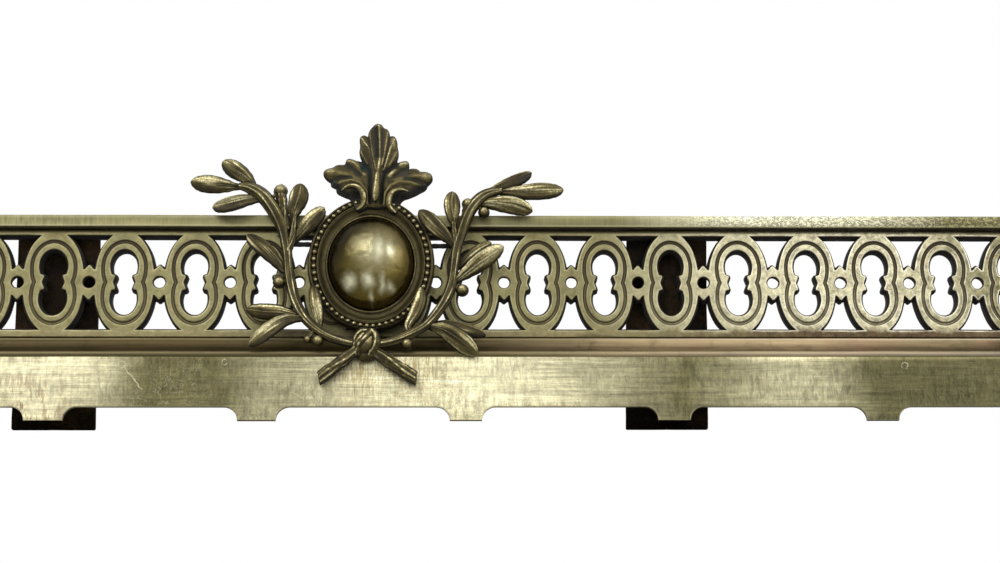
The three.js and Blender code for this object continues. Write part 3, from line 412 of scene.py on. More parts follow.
def rail_material():
    """Drawn brass with faint upright brush lines, brightest towards the right with a painted reflection, and
    painted light that changes with height.
    """
    n = Nodes("rail_brass")
    lines = n.noise(1, 4, 0.65, n.scaled(1100, 1100, 45))
    # painted reflection: brightest round 310 mm right of the middle
    zones = n.mix(n.painted_reflections([(0.31, 0.12, 1.0)]), rgb(140, 134, 94), rgb(246, 242, 206))
    colour = n.shade(zones, n.ramp(lines, 0.36, 0.64, 0.86, 1.12))
    # painted light: on the left darker towards the top, on the right lighter towards the top
    up = n.ramp(n.axis("Z"), 0.148, 0.156)
    side = n.ramp(n.axis("X"), -0.1, 0.26)
    colour = n.shade(colour, n.mix(side, n.ramp(up, 0, 1, 1.12, 0.72), n.ramp(up, 0, 1, 0.6, 1.25)))
    cloud = n.noise(1, 4, 0.6, n.scaled(26, 26, 120))
    colour = n.shade(colour, n.ramp(cloud, 0.34, 0.66, 0.86, 1.08))
    left = n.ramp(n.axis("X"), -0.14, -0.24)
    strokes = n.ramp(n.noise(1, 4, 0.7, n.scaled(420, 420, 70)), 0.38, 0.62, 0.72, 1.16)
    colour = n.mix(left, colour, n.shade(colour, strokes))
    spots = n.ramp(n.noise(330, 4, 0.65), 0.64, 0.72)
    colour = n.tint(colour, spots, 0.5, rgb(82, 72, 44))
    pitted = n.ramp(n.axis("X"), 0.2, 0.3)
    hammered = n.noise(1, 5, 0.75, n.scaled(330, 330, 620), 0.6)
    pits = n.times(n.ramp(hammered, 0.5, 0.6), pitted)
    colour = n.mix(pitted, colour, n.shade(colour, n.ramp(hammered, 0.44, 0.64, 1.3, 0.86)))
    # rub and painted highlight along the lip
    colour = n.tint(colour, n.attribute(RUB_AND_HIGHLIGHT), 0.6, rgb(206, 202, 160))
    normal = n.bump(lines, 0.00008, n.bump(pits, 0.0004, n.bump(n.noise(40, 2), 0.0008)))
    rough = n.ramp(lines, 0.2, 0.8, 0.36, 0.5)
    return n.soiled_and_shaded(colour, 0.75, rough, normal, rgb(58, 46, 22), rgb(13, 10, 4))


def moulding_material():
    """The base moulding: a dull brown cove, pinkish and paler further right with a painted reflection, lighter
    towards its top with painted light, over a lighter bead with a rub and a painted highlight.
    """
    n = Nodes("moulding_brass")
    # painted reflection: paler round 290 mm right of the middle
    zones = n.mix(n.painted_reflections([(0.29, 0.22, 1.0)]), rgb(72, 60, 30), rgb(168, 148, 112))
    along = n.noise(1, 4, 0.6, n.scaled(14, 14, 300))
    colour = n.shade(zones, n.ramp(along, 0.34, 0.66, 0.78, 1.3))
    blots = n.ramp(n.noise(60, 5, 0.65, distort=0.8), 0.54, 0.72)
    colour = n.shade(colour, n.ramp(blots, 0, 1, 1.06, 0.66))
    pink = n.times(n.ramp(n.noise(34, 4), 0.5, 0.7), n.ramp(n.axis("X"), 0.2, 0.3))
    colour = n.tint(colour, pink, 0.3, rgb(170, 118, 104))
    right = n.ramp(n.axis("X"), 0.1, 0.3)
    # painted light: the cove lighter towards its top, more so to the right
    up = n.ramp(n.axis("Z"), 0.053, 0.064)
    colour = n.shade(colour, n.mix(right, n.ramp(up, 0, 1, 0.94, 1.14), n.ramp(up, 0, 1, 0.78, 1.4)))
    # rub and painted highlight on the lip and the bead, paler to the right
    lip = n.mix(right, rgb(170, 159, 116), rgb(246, 232, 200))
    colour = n.tint(colour, n.attribute(RUB_AND_HIGHLIGHT), 0.6, lip)
    normal = n.bump(along, 0.00024, n.bump(n.noise(300, 4, 0.7), 0.00008))
    rough = n.ramp(along, 0.3, 0.7, 0.36, 0.52)
    return n.soiled_and_shaded(colour, 0.7, rough, normal, rgb(52, 41, 20), rgb(15, 11, 5))


RING_MARKS = [(0.3877, 0.0398, 0.0022), (-0.1, 0.0422, 0.002), (-0.173, 0.0405, 0.0024)]


def plinth_material():
    """Rolled brass sheet: broad bright stretches painted as reflections, duller ones between, mottled, with
    fine marks both ways.
    """
    n = Nodes("plinth_brass")
    # painted reflections: the broad bright stretches
    reflection_patches = n.painted_reflections([(-0.25, 0.09, 1.0), (0.06, 0.17, 1.0), (0.3, 0.07, 0.45)])
    colour = n.mix(reflection_patches, rgb(110, 105, 70), rgb(244, 236, 194))
    colour = n.shade(colour, n.ramp(n.axis("X"), 0.3, 0.42, 1.0, 0.75))
    level = n.noise(1, 5, 0.75, n.scaled(20, 20, 560), 0.5)
    upright = n.noise(1, 4, 0.7, n.scaled(300, 300, 60), 0.7)
    fine = n.noise(1, 4, 0.7, n.scaled(1500, 1500, 260))
    where = n.ramp(n.noise(1, 3, 0.6, n.scaled(18, 18, 60, (2, 7, 4))), 0.4, 0.6)
    colour = n.shade(colour, n.mix(where, (1.0, 1.0, 1.0), n.ramp(level, 0.38, 0.62, 0.66, 1.24)))
    veil = n.noise(1, 4, 0.6, n.scaled(7, 7, 170, (5, 2, 1)))
    colour = n.shade(colour, n.ramp(veil, 0.4, 0.62, 1.1, 0.82))
    strokes = n.ramp(where, 0, 1, 1.0, 0.3)
    upright = n.times(n.ramp(upright, 0.4, 0.64), strokes)
    colour = n.shade(colour, n.ramp(upright, 0, 1, 1.12, 0.62))
    colour = n.shade(colour, n.ramp(n.noise(150, 6, 0.8, distort=0.9), 0.38, 0.62, 0.78, 1.16))
    # where the painted reflection is bright the scratches are drawn dark
    bright = n.stops(n.ramp(n.axis("X"), -0.05, 0.2), [
        (0.0, (0, 0, 0)), (0.15, (1, 1, 1)), (0.8, (1, 1, 1)), (1.0, (0.25, 0.25, 0.25))])
    for scale, shift in ((n.scaled(60, 60, 150), 0.5), (n.scaled(150, 150, 50, (3, 1, 2)), 0.47)):
        scratch = n.math("ABSOLUTE", n.minus(n.noise(1, 3, 0.6, scale, 1.2), shift))
        scratch = n.times(n.ramp(scratch, 0.0, 0.012, 1.0, 0.0), n.ramp(n.noise(18, 2), 0.42, 0.58))
        scratch = n.times(scratch, n.ramp(n.axis("X"), 0.17, 0.23, 1.0, 0.25))
        colour = n.tint(colour, scratch, 0.24, rgb(228, 222, 188))
        dark = n.times(scratch, bright)
        colour = n.tint(colour, dark, 0.5, rgb(132, 118, 76))
    stain = n.ramp(n.noise(36, 5, 0.66, distort=1.0), 0.56, 0.72)
    colour = n.tint(colour, stain, 0.35, rgb(112, 98, 62))
    left = n.ramp(n.axis("X"), -0.185, -0.24)
    blots = n.times(n.ramp(n.noise(1, 5, 0.7, n.scaled(190, 190, 55)), 0.5, 0.58), left)
    low = n.ramp(n.axis("Z"), 0.04, 0.014, 0.12, 0.8)
    colour = n.mix(n.times(blots, low), colour, rgb(134, 104, 76))
    ripples = n.times(n.ramp(n.axis("X"), -0.03, -0.012), n.ramp(n.axis("X"), 0.066, 0.046))
    ripples = n.times(ripples, n.ramp(n.axis("Z"), 0.012, 0.036, 0.35, 1.0))
    bars = n.ramp(n.noise(1, 3, 0.7, n.scaled(520, 520, 60), 0.5), 0.45, 0.58)
    colour = n.shade(colour, n.mix(n.times(ripples, bars), (1.06, 1.06, 1.06), (0.7, 0.62, 0.5)))
    for x, z, r in RING_MARKS:
        u = n.minus(n.plus(n.axis("X"), n.ramp(n.noise(160, 2), 0, 1, -0.002, 0.002)), x)
        v = n.minus(n.axis("Z"), z)
        far = n.away(u, v)
        mark = n.ramp(n.math("ABSOLUTE", n.minus(far, r)), 0.0001, 0.0007, 0.6, 0.0)
        mark = n.times(mark, n.ramp(n.noise(420, 2), 0.36, 0.56, 0.2, 1.0))
        colour = n.mix(mark, colour, rgb(212, 204, 166))
    off = n.plus(n.times(n.axis("X"), 0.75), n.times(n.axis("Z"), 0.66))
    off = n.plus(n.minus(off, -0.1028), n.ramp(n.noise(120, 3), 0.3, 0.7, -0.0016, 0.0016))
    reach = n.times(n.ramp(n.axis("X"), -0.173, -0.17), n.ramp(n.axis("X"), -0.156, -0.159))
    mark = n.times(n.ramp(n.math("ABSOLUTE", off), 0.0001, 0.0006, 0.7, 0.0), reach)
    colour = n.mix(mark, colour, rgb(214, 207, 170))
    # painted highlight along the top on the right
    crown = n.times(n.ramp(n.axis("Z"), 0.0425, 0.0452), n.ramp(n.axis("X"), 0.2, 0.27))
    colour = n.shade(colour, n.ramp(crown, 0, 1, 1.0, 1.9))
    # rub and painted highlight on the rounded edge
    colour = n.tint(colour, n.attribute(RUB_AND_HIGHLIGHT), 0.4, rgb(214, 206, 164))
    colour = n.mix(n.attribute(DIRT_AND_SHADE), colour, rgb(44, 36, 20))
    normal = n.bump(fine, 0.00004, n.bump(upright, 0.0002, n.bump(n.noise(16, 2), 0.002)))
    return n.finish(colour, 0.8, n.ramp(fine, 0.2, 0.8, 0.28, 0.44), normal)


def iron_material():
    """Blackened wrought iron, mottled, with rust in patches."""
    n = Nodes("strap_iron")
    mottle = n.ramp(n.noise(55, 5, 0.7, distort=0.5), 0.36, 0.66)
    colour = n.mix(mottle, rgb(13, 10, 6), rgb(48, 38, 26))
    rust = n.ramp(n.noise(38, 4, 0.65, n.scaled(1, 1, 1, (3.1, 0, 0))), 0.5, 0.66)
    colour = n.tint(colour, rust, 0.85, rgb(76, 58, 38))
    dust = n.ramp(n.noise(160, 3, 0.6), 0.6, 0.74)
    colour = n.tint(colour, dust, 0.22, rgb(84, 64, 40))
    normal = n.bump(n.noise(420, 4, 0.7), 0.0003, n.bump(mottle, 0.0008))
    n.shader.inputs["Specular IOR Level"].default_value = 0.15
    return n.finish(colour, 0.1, n.ramp(mottle, 0, 1, 0.65, 0.85), normal)


def rivet_material():
    n = Nodes("rivet_iron")
    spots = n.ramp(n.noise(420, 4, 0.65), 0.4, 0.65)
    colour = n.mix(spots, rgb(40, 35, 29), rgb(92, 78, 58))
    return n.finish(colour, 0.6, n.ramp(spots, 0, 1, 0.4, 0.7), n.bump(n.noise(900, 3), 0.0002))


def stud_material():
    n = Nodes("stud_brass")
    spots = n.ramp(n.noise(300, 4, 0.65), 0.4, 0.65)
    colour = n.mix(spots, rgb(120, 108, 66), rgb(170, 156, 104))
    lathe = n.noise(1, 3, 0.6, n.scaled(300, 4000, 300))
    return n.finish(colour, 0.85, 0.38, n.bump(lathe, 0.00008))


def bronze_material():
    """The applied castings: dark olive patina, rubbed bright and given painted highlights on what stands out
    and faces the light, painted shade on the sides and backs, verdigris in the deep.
    """
    n = Nodes("ornament_bronze")
    mottle = n.ramp(n.noise(85, 5, 0.65, distort=0.4), 0.34, 0.68)
    colour = n.mix(mottle, rgb(44, 38, 20), rgb(82, 73, 42))
    fine = n.noise(620, 4, 0.7)
    # rubbed high points and painted highlights
    rub_and_highlight = n.ramp(n.attribute(RUB_AND_HIGHLIGHT), 0.05, 1.0)
    rub_and_highlight = n.times(rub_and_highlight, n.ramp(fine, 0.3, 0.6, 0.45, 1.1))
    colour = n.mix(n.math("MINIMUM", n.times(rub_and_highlight, 1.6), 1.0), colour, rgb(134, 122, 78))
    colour = n.mix(n.ramp(rub_and_highlight, 0.45, 1.0), colour, rgb(224, 215, 168))
    deep = n.attribute(DIRT_AND_SHADE)
    green = n.times(n.ramp(deep, 0.3, 0.7), n.ramp(n.noise(38, 4, 0.6), 0.5, 0.62))
    brown = n.mix(green, rgb(34, 28, 13), rgb(36, 54, 46))
    black = n.mix(green, rgb(10, 8, 4), rgb(17, 30, 27))
    normal = n.bump(fine, 0.00014, n.bump(n.noise(170, 3, 0.6), 0.0005))
    rough = n.ramp(rub_and_highlight, 0, 1, 0.48, 0.3)
    return n.soiled_and_shaded(colour, 0.72, rough, normal, brown, black)


DOME_REFLECTIONS = [
    # painted reflections on the dome: place and half size in shares of its half width and height, and strength
    (0.16, 0.2, 0.6, 0.56, 0.3), (0.19, 0.2, 0.13, 0.4, 0.6), (0.44, 0.2, 0.15, 0.2, 0.5),
    (-0.04, -0.46, 0.19, 0.24, 0.85), (-0.46, -0.52, 0.2, 0.24, 0.75), (0.27, -0.52, 0.11, 0.22, 0.55),
    (0.46, -0.58, 0.16, 0.15, 0.5), (0.03, -0.8, 0.08, 0.17, 0.5), (-0.5, -0.4, 0.22, 0.16, 0.35)]


def dome_material():
    """The polished boss: olive and brown towards its rim, with painted shade to the left and upper left, a
    painted highlight low down, and pale painted reflections.
    """
    n = Nodes("boss_brass")
    x = n.math("DIVIDE", n.minus(n.axis("X"), BOSS_X * 0.001), BOSS_W * 0.001)
    z = n.math("DIVIDE", n.minus(n.axis("Z"), BOSS_Z * 0.001), BOSS_H * 0.001)
    drift = n.ramp(n.noise(70, 4, 0.6), 0.3, 0.7, -0.07, 0.07)
    away = n.away(x, z)
    colour = n.stops(n.plus(away, drift), [
        (0.0, rgb(125, 115, 70)), (0.6, rgb(100, 88, 40)), (1.0, rgb(70, 56, 20))])
    # painted shade: darker to the left
    colour = n.shade(colour, n.ramp(n.plus(x, drift), -0.75, 0.05, 0.6, 1.06))
    # painted shade: darker to the upper left
    corner = n.minus(z, n.times(x, 0.9))
    colour = n.shade(colour, n.ramp(corner, 0.3, 0.9, 1.0, 0.34))
    # painted highlight: lighter low down
    colour = n.shade(colour, n.ramp(z, -0.95, -0.5, 2.0, 1.0))
    smear = n.ramp(n.noise(110, 4, 0.6, distort=0.6), 0.5, 0.72)
    colour = n.tint(colour, smear, 0.3, rgb(76, 66, 34))
    wave = n.ramp(n.noise(110, 3, 0.5), 0.3, 0.7, -0.04, 0.04)
    # painted reflections: pale soft patches
    for px, pz, w, h, strength in DOME_REFLECTIONS:
        u = n.math("DIVIDE", n.minus(n.plus(x, wave), px), w)
        v = n.math("DIVIDE", n.minus(n.plus(z, drift), pz), h)
        far = n.away(u, v)
        near = n.ramp(far, 0.0, 1.3, 1.0, 0.0)
        colour = n.mix(n.times(n.times(near, near), strength * 1.6), colour, rgb(240, 236, 200))
    specks = n.ramp(n.noise(520, 3, 0.6), 0.64, 0.72)
    colour = n.tint(colour, specks, 0.4, rgb(44, 36, 20))
    normal = n.bump(n.noise(60, 2), 0.0012, n.bump(n.noise(700, 3), 0.00005))
    return n.finish(colour, 0.85, n.ramp(smear, 0, 1, 0.24, 0.38), normal)


rail_brass = rail_material()
gallery_brass = gallery_material()
moulding_brass = moulding_material()
plinth_brass = plinth_material()
strap_iron = iron_material()
rivet_iron = rivet_material()
stud_brass = stud_material()
bronze = bronze_material()
boss_brass = dome_material()


# ------------------------------------------------------------------ gallery
def mirrored(quarter):
    """Quarter outline (x, z) from the top to the side, as a whole anticlockwise one from its top."""
    right_half = quarter + [(x, -z) for x, z in quarter[-2::-1]]
    left_half = [(-x, z) for x, z in right_half]
    return left_half + right_half[-2:0:-1]


def keyhole_outline():
    lobe = []
    for i in range(15):
        a = math.radians(90 - 115 * i / 14)
        lobe.append((10.0 * math.cos(a) if i else 0.0, 12.4 + 12.6 * math.sin(a)))
    return mirrored(lobe + [(9.0, 6.4), (8.0, 5.95), (7.0, 5.7), (6.4, 5.3), (6.2, 4.6), (6.6, 3.2),
                            (7.2, 1.7),
                            (7.6, 0.6), (7.7, 0.0)])


def groove_outline():
    line = []
    for i in range(13):
        a = math.radians(90 - 7.5 * i)
        line.append((15.3 * math.cos(a) if i else 0.0, 11 + 19.9 * math.sin(a)))
    return mirrored(line + [(15.15, 7.6), (14.8, 4.8), (14.2, 2.3), (13.3, 0.0)])


def oval_gap(z):
    """Half the gap between two ovals at a height above or below their middles."""
    return PITCH / 2 - OVAL_W * (1 - (z / OVAL_H) ** OVAL_POWER) ** (1 / OVAL_POWER)


def spandrel_outline(tight=0.0):
    """The opening between two ovals over a diamond; tight draws its sides in, as its walls have draft."""
    top, low, tip = OPENING_HALF - tight, 10.0 + 2.2 * tight, 13.2 + tight
    half = [(0.0, top), (8.5, top)]
    for i in range(15):
        z = top + (low - top) * (i / 14) ** 0.8
        half.append((oval_gap(z) - tight, z))
    for x, z in ((3.5, 10.0), (2.9, 10.5), (2.0, 11.5), (1.2, 12.6), (0.6, 13.1), (0.0, 13.2)):
        half.append((x * (1 - 0.15 * tight), low + (z - 10.0) * (tip - low) / 3.2))
    return [(-x, z) for x, z in half] + half[-2:0:-1]


def part_spandrel_outline(cut):
    """The spandrel on one side of a boundary, cut off by a stile at x = cut."""
    low = 10.0
    while oval_gap(low) < cut + 0.2:
        low += 0.05
    side = []
    for i in range(13):
        z = low + (OPENING_HALF - low) * (i / 12) ** 1.2
        side.append((oval_gap(z), z))
    return [(cut, OPENING_HALF), (cut, low + 0.1)] + side


def circle_outline(r, count=28):
    turns = [2 * math.pi * i / count + math.pi / 2 for i in range(count)]
    return [(r * math.cos(a), r * math.sin(a)) for a in turns]


def anticlockwise(ring):
    area = sum(a[0] * b[1] - b[0] * a[1] for a, b in zip(ring, ring[1:] + ring[:1]))
    return ring if area > 0 else ring[::-1]


# (widen, depth, edge, dirt): a rub and a painted highlight on the bevels, and painted shade on the walls
# inside the openings
RIM = [(1.4, 0.0, 0.0, 0.0), (0.9, 0.03, 1.0, 0.0), (0.38, 0.22, 0.8, 0.05), (0.05, 0.7, 0.0, 0.8),
       (-0.6, 2.0, 0.0, 1.0), (-1.2, 3.6, 0.0, 1.0), (-1.25, 9.1, 0.0, 1.0), (-0.8, GALLERY_THICK, 0.5, 0.2)]
HOLE_RIM = [(1.2, 0.0, 0.0, 0.0), (0.6, 0.03, 0.3, 0.0), (0.15, 0.2, 0.2, 0.4), (-0.2, 0.6, 0.0, 0.95),
            (-0.6, 1.8, 0.0, 1.0), (0.6, 6.0, 0.0, 1.0), (1.2, 9.1, 0.0, 1.0), (1.6, GALLERY_THICK, 0.3, 0.3)]
CORNER_RIM = [(0.4, 0.0, 0.0, 0.0), (0.3, 0.1, 0.3, 0.0), (0.0, 0.9, 0.0, 0.8), (-0.05, 9.1, 0.0, 1.0),
              (0.3, GALLERY_THICK, 0.4, 0.2)]
GROOVE = [(2.1, 0.0, 0.0), (1.7, 0.04, 0.0), (1.2, 0.4, 0.56), (0.6, 1.1, 0.6), (0.0, 1.2, 0.44)]
BAND_TOP = 144.2
# (depth, height, edge, dirt): the dirt is painted shade on the band under the rail and along the underside
SKIN = [(0.0, GALLERY_BOTTOM + 0.7, 0.0, 0.1), (0.6, GALLERY_BOTTOM, 0.0, 0.4),
        (GALLERY_THICK - 0.5, GALLERY_BOTTOM, 0.2, 0.6), (GALLERY_THICK, GALLERY_BOTTOM + 0.5, 0.6, 0.1),
        (GALLERY_THICK, GALLERY_TOP - 0.5, 0.6, 0.1), (GALLERY_THICK - 0.5, GALLERY_TOP, 0.2, 0.6),
        (1.4, GALLERY_TOP, 0.0, 0.6), (0.9, 146.4, 0.0, 0.5), (0.5, 146.0, 0.0, 0.42),
        (0.25, 145.4, 0.0, 0.34), (0.1, 144.9, 0.0, 0.26), (0.0, BAND_TOP, 0.0, 0.18)]
BELOW, ABOVE = 0, len(SKIN) - 1         # the skin's lines at the foot and the head of the front face
BACK_BELOW, BACK_ABOVE = 3, 4
STEPS = 4


def gallery_piece(name, run, low, cells, nodes):
    place, start, end = RUNS[run]
    shell = Shell()

    def opening(outline, x, profile, cut=None):
        """The loops of one opening, front to back; cut says how the outline follows the depth."""
        loops = []
        for widen, depth, edge, dirt_and_shade in profile:
            ring, more = outline, widen
            if cut:
                ring = outline(depth)
            elif callable(outline):
                ring, more = outline(max(0.0, -widen)), max(0.0, widen)
            moved = [(x + a, OPENING_MID + b) for a, b in grown(anticlockwise(ring), more)]
            loops.append(shell.loop([place(a, depth, b) for a, b in moved], edge, dirt_and_shade))
        shell.bands(loops)
        return loops[0], loops[-1]

    def halves(ring):
        """A loop that begins at its top: its left side going up and its right side going down."""
        half = len(ring) // 2
        left, right = ring[:half + 1], ring[half:] + ring[:1]
        return left[::-1], right[::-1]

    def lower_spandrel(tight):
        ring = [(a, -b) for a, b in spandrel_outline(tight)]
        return ring[len(ring) // 2:] + ring[:len(ring) // 2]

    edges = [low + PITCH * k for k in range(cells + 1)]
    sides = []      # per boundary and face: left sides going up, right sides going down
    for x in edges[1:-1]:
        rings = [opening(lower_spandrel, x, RIM), opening(circle_outline(4.5), x, HOLE_RIM),
                 opening(spandrel_outline, x, RIM)]
        both = []
        for face in (0, 1):
            up, down = [], []
            for ring in rings:
                left, right = halves(ring[face])
                up += left
                down = right + down
            both.append((up, down))
        sides.append(both)
    lines = []
    for depth, z, edge, dirt_and_shade in SKIN:
        stops = [start(depth)] + [low + PITCH * k / STEPS for k in range(1, cells * STEPS)] + [end(depth)]
        lines.append(shell.loop([place(s, depth, z) for s in stops], edge, dirt_and_shade))
    for i, (a, b) in enumerate(zip(lines, lines[1:])):
        if i != BACK_BELOW:                 # the pierced back face is filled below
            shell.band(a, b, closed=False)
    shell.fill([line[0] for line in lines])
    shell.fill([line[-1] for line in lines])
    for k in range(cells):
        x = low + PITCH * (k + 0.5)
        hole = opening(keyhole_outline(), x, RIM)
        cut_out = [(w, d, (0.0, 1.0, 0.1, 0.0, 0.0)[i], dirt_and_shade) for i, (w, d, dirt_and_shade) in enumerate(GROOVE)]
        mirror = [(-w, d, 0.8 if w == GROOVE[1][0] else 0.0, dirt_and_shade) for w, d, dirt_and_shade in GROOVE[-2::-1]]
        incised = opening(groove_outline(), x, cut_out + mirror)
        # painted shade: the grooves darker towards their tops
        for i in range(incised[0][0], incised[1][-1] + 1):
            shell.dirt_and_shade[i] *= 0.9 + 0.24 * (shell.points[i].z - OPENING_MID) / 31
        shell.fill(incised[1], hole[0])
        stiles = []
        if k == 0:
            stiles += stile_openings(opening, edges[0], start, 1)
        if k == cells - 1:
            stiles += stile_openings(opening, edges[-1], end, -1)
        for face, below, above in ((0, BELOW, ABOVE), (1, BACK_BELOW, BACK_ABOVE)):
            ring = lines[below][k * STEPS:(k + 1) * STEPS + 1]
            ring += sides[k][face][0] if k < cells - 1 else []
            ring += lines[above][k * STEPS:(k + 1) * STEPS + 1][::-1]
            ring += sides[k - 1][face][1] if k else []
            shell.fill(ring, incised[0] if face == 0 else hole[1], *[pair[face] for pair in stiles])
    for i, p in enumerate(shell.points):
        drift = noise.noise_vector(p / 7) * 0.1 + noise.noise_vector(p / 31) * 0.12
        shell.points[i] = p + Vector((drift.x, 0, drift.z))
        if run == "front" and abs(p.x) < 560:
            lean = (p.x - 97) / 322 * 0.022 * (p.z - OPENING_MID) * min(1, (560 - abs(p.x)) / 60)
            shell.points[i].x += uneven(p.x, GALLERY_DRIFT) + lean
    return dress(shell.piece(name, gallery_brass), "gallery_brass", *nodes)


def stile_openings(opening, edge, end, side):
    made = []
    for up in (1, -1):
        def outline(depth):
            cut = abs(end(depth) - edge) + STILE if (end(depth) - edge) * side >= 0 else STILE
            return [(side * x, up * z) for x, z in part_spandrel_outline(cut)]
        made.append(opening(outline, edge, CORNER_RIM, cut=True))
    return made


gallery_piece("gallery_front_run", "front", -HALF_FRONT, FRONT_CELLS,
              [f"gallery_front_{i}" for i in (1, 2, 3, 4)])
gallery_piece("gallery_left_run", "left", 0.0, RETURN_CELLS, ["gallery_left"])
gallery_piece("gallery_right_run", "right", 0.0, RETURN_CELLS, ["gallery_right"])


# ------------------------------------------------------------------ rails, mouldings and plinths
def arc(d, z, rd, rz, first, last, count, edge, dirt_and_shade):
    """Points of a profile on an arc, angles in degrees from the rear (0) over the top (90)."""
    out = []
    for i in range(count + 1):
        a = math.radians(first + (last - first) * i / count)
        out.append((d + rd * math.cos(a), z + rz * math.sin(a), edge, dirt_and_shade))
    return out


# (depth, height, edge, dirt): a rub and a painted highlight on the lower lip, and painted shade on the
# underside
RAIL_SECTION = (
    [(REAR, 147.3, 0.4, 0.2)] + arc(REAR - 0.6, 155.5, 0.6, 0.6, 0, 90, 3, 0.5, 0)
    + [(8.0, 156.15, 0, 0), (2.0, 156.15, 0, 0)] + arc(-4.8, 155.0, 1.2, 1.2, 90, 180, 7, 0.3, 0)
    + [(-6.0, 153.0, 0, 0), (-6.0, 151.0, 0, 0), (-6.0, 149.0, 0, 0)]
    + arc(-5.4, 147.9, 0.6, 0.6, 180, 270, 5, 0.8, 0.0)
    + [(-4.6, 147.25, 0, 0.3), (-2.6, 147.35, 0, 0.45), (-1.3, 147.5, 0, 0.5), (-1.0, 147.1, 0, 0.5),
       (13.4, 147.1, 0, 0.4)])

# (depth, height, edge, dirt): a rub and a painted highlight on the top lip and the bead, and painted shade
# under the bead
MOULDING_SECTION = (
    [(REAR, 47.5, 0.4, 0.2), (REAR, 64.2, 0.4, 0.2), (REAR - 0.5, 64.7, 0.2, 0.4), (1.3, 64.75, 0, 0.45),
     (0.7, 64.6, 0.1, 0.3), (0.4, 64.3, 0.8, 0.05), (0.25, 63.8, 0.8, 0), (0.4, 63.3, 0.4, 0)]
    + [(-17.2 + 17.7 * math.sin(math.radians(a)), 63.3 - 12.3 * math.cos(math.radians(a)), 0, 0.1)
       for a in range(84, 0, -6)]
    + [(-17.3, 50.75, 0.0, 0.5), (-18.0, 50.55, 0.1, 0.6), (-18.7, 50.5, 0.9, 0.0)]
    + arc(-19.4, 48.15, 2.0, 2.25, 80, 255, 16, 0.42, 0.0)
    + [(-18.6, 46.0, 0, 0.9), (-15.7, 46.9, 0, 0.9), (-15.7, 38.2, 0, 0.5), (-12.1, 38.2, 0, 0.5),
       (-12.0, 46.9, 0, 0.6), (-3.3, 50.6, 0, 0.5), (3.5, 56.2, 0, 0.5), (3.9, 47.0, 0, 0.5)])


SWEEP_SWAY, SWEEP_STEP = 0.12, 10.0


def run_sweep(name, run, section, material, slot, node):
    """A section (depth, height, edge, dirt) along a run, mitred at its corners and never quite true."""
    place, start, end = RUNS[run]
    shell = Shell()
    count = round((end(0) - start(0)) / SWEEP_STEP)
    rings = []
    for j in range(count + 1):
        t = j / count
        points = []
        for d, z, edge, dirt_and_shade in section:
            p = place(start(d) + (end(d) - start(d)) * t, d, z)
            shift = noise.noise_vector(Vector((p.x, p.y, 0)) / 45) * SWEEP_SWAY
            points.append((p + Vector((0, shift.y, shift.z)) * (1 if 0 < t < 1 else 0), edge, dirt_and_shade))
        rings.append(shell.line(points))
    shell.capped(rings)
    return dress(shell.piece(name, material, angle=50), slot, node)


def feet_between(low, high, middle):
    feet = []
    at = 1.5 * PITCH
    while at < high - low:
        feet += [middle - at, middle + at]
        at += 3 * PITCH
    return sorted(f for f in feet if low < f < high)


PLINTH_FRONT, PLINTH_BACK, PLINTH_TOP, PLINTH_BOTTOM = -20.0, -16.0, 46.6, 9.8


def plinth_piece(name, run, node):
    place, start, end = RUNS[run]
    low, high = (-HALF_FRONT, HALF_FRONT) if run == "front" else (0.0, RETURN_DEPTH)

    def outline(depth, inset):
        ring = []
        a, b = start(depth) + inset, end(depth) - inset
        steps = round((high - low) / 12)
        for i in range(steps + 1):
            ring.append((b + (a - b) * i / steps, PLINTH_TOP - inset))
        ring.append((a, PLINTH_BOTTOM + inset))
        for x in feet_between(low, high, 0.0):
            spread = 1.6 if x < 0 or run != "front" else -0.5
            x += uneven(x, PLINTH_DRIFT) if run == "front" else 0.0
            side = []
            for i in range(11):
                turn = math.radians(90 - 9 * i)
                reach = 12 + PLINTH_BOTTOM * (1 - math.cos(turn))
                side.append((-reach - spread + inset * math.cos(turn),
                             PLINTH_BOTTOM * math.sin(turn) + inset))
            ring += [(x + u, z) for u, z in side] + [(x - u, z) for u, z in side[::-1]]
        ring.append((b, PLINTH_BOTTOM + inset))
        return ring

    shell = Shell()
    profile = [(PLINTH_FRONT, 0.9, 0.0, 0.0), (PLINTH_FRONT, 0.45, 0.7, 0.0),
               (PLINTH_FRONT + 0.15, 0.12, 1.0, 0.0),
               (PLINTH_FRONT + 0.5, 0.0, 0.3, 0.2), (PLINTH_BACK - 0.4, 0.0, 0.0, 0.5),
               (PLINTH_BACK, 0.4, 0.3, 0.3)]
    loops = []
    for depth, inset, edge, dirt_and_shade in profile:
        loops.append(shell.loop([place(x, depth, z) for x, z in outline(depth, inset)], edge, dirt_and_shade))
    shell.capped(loops)
    return dress(shell.piece(name, plinth_brass, angle=35), "plinth_brass", node)


for run in RUNS:
    run_sweep(f"top_rail_{run}_run", run, RAIL_SECTION, rail_brass, "rail_brass", f"top_rail_{run}")
    run_sweep(f"base_moulding_{run}_run", run, MOULDING_SECTION, moulding_brass, "moulding_brass",
              f"base_moulding_{run}")
    plinth_piece(f"plinth_{run}_sheet", run, f"plinth_{run}")


# ------------------------------------------------------------------ iron straps, angle irons and rivets
STRAP_FRONT, STRAP_BACK, STRAP_TOP = 14.3, 18.3, 152.5


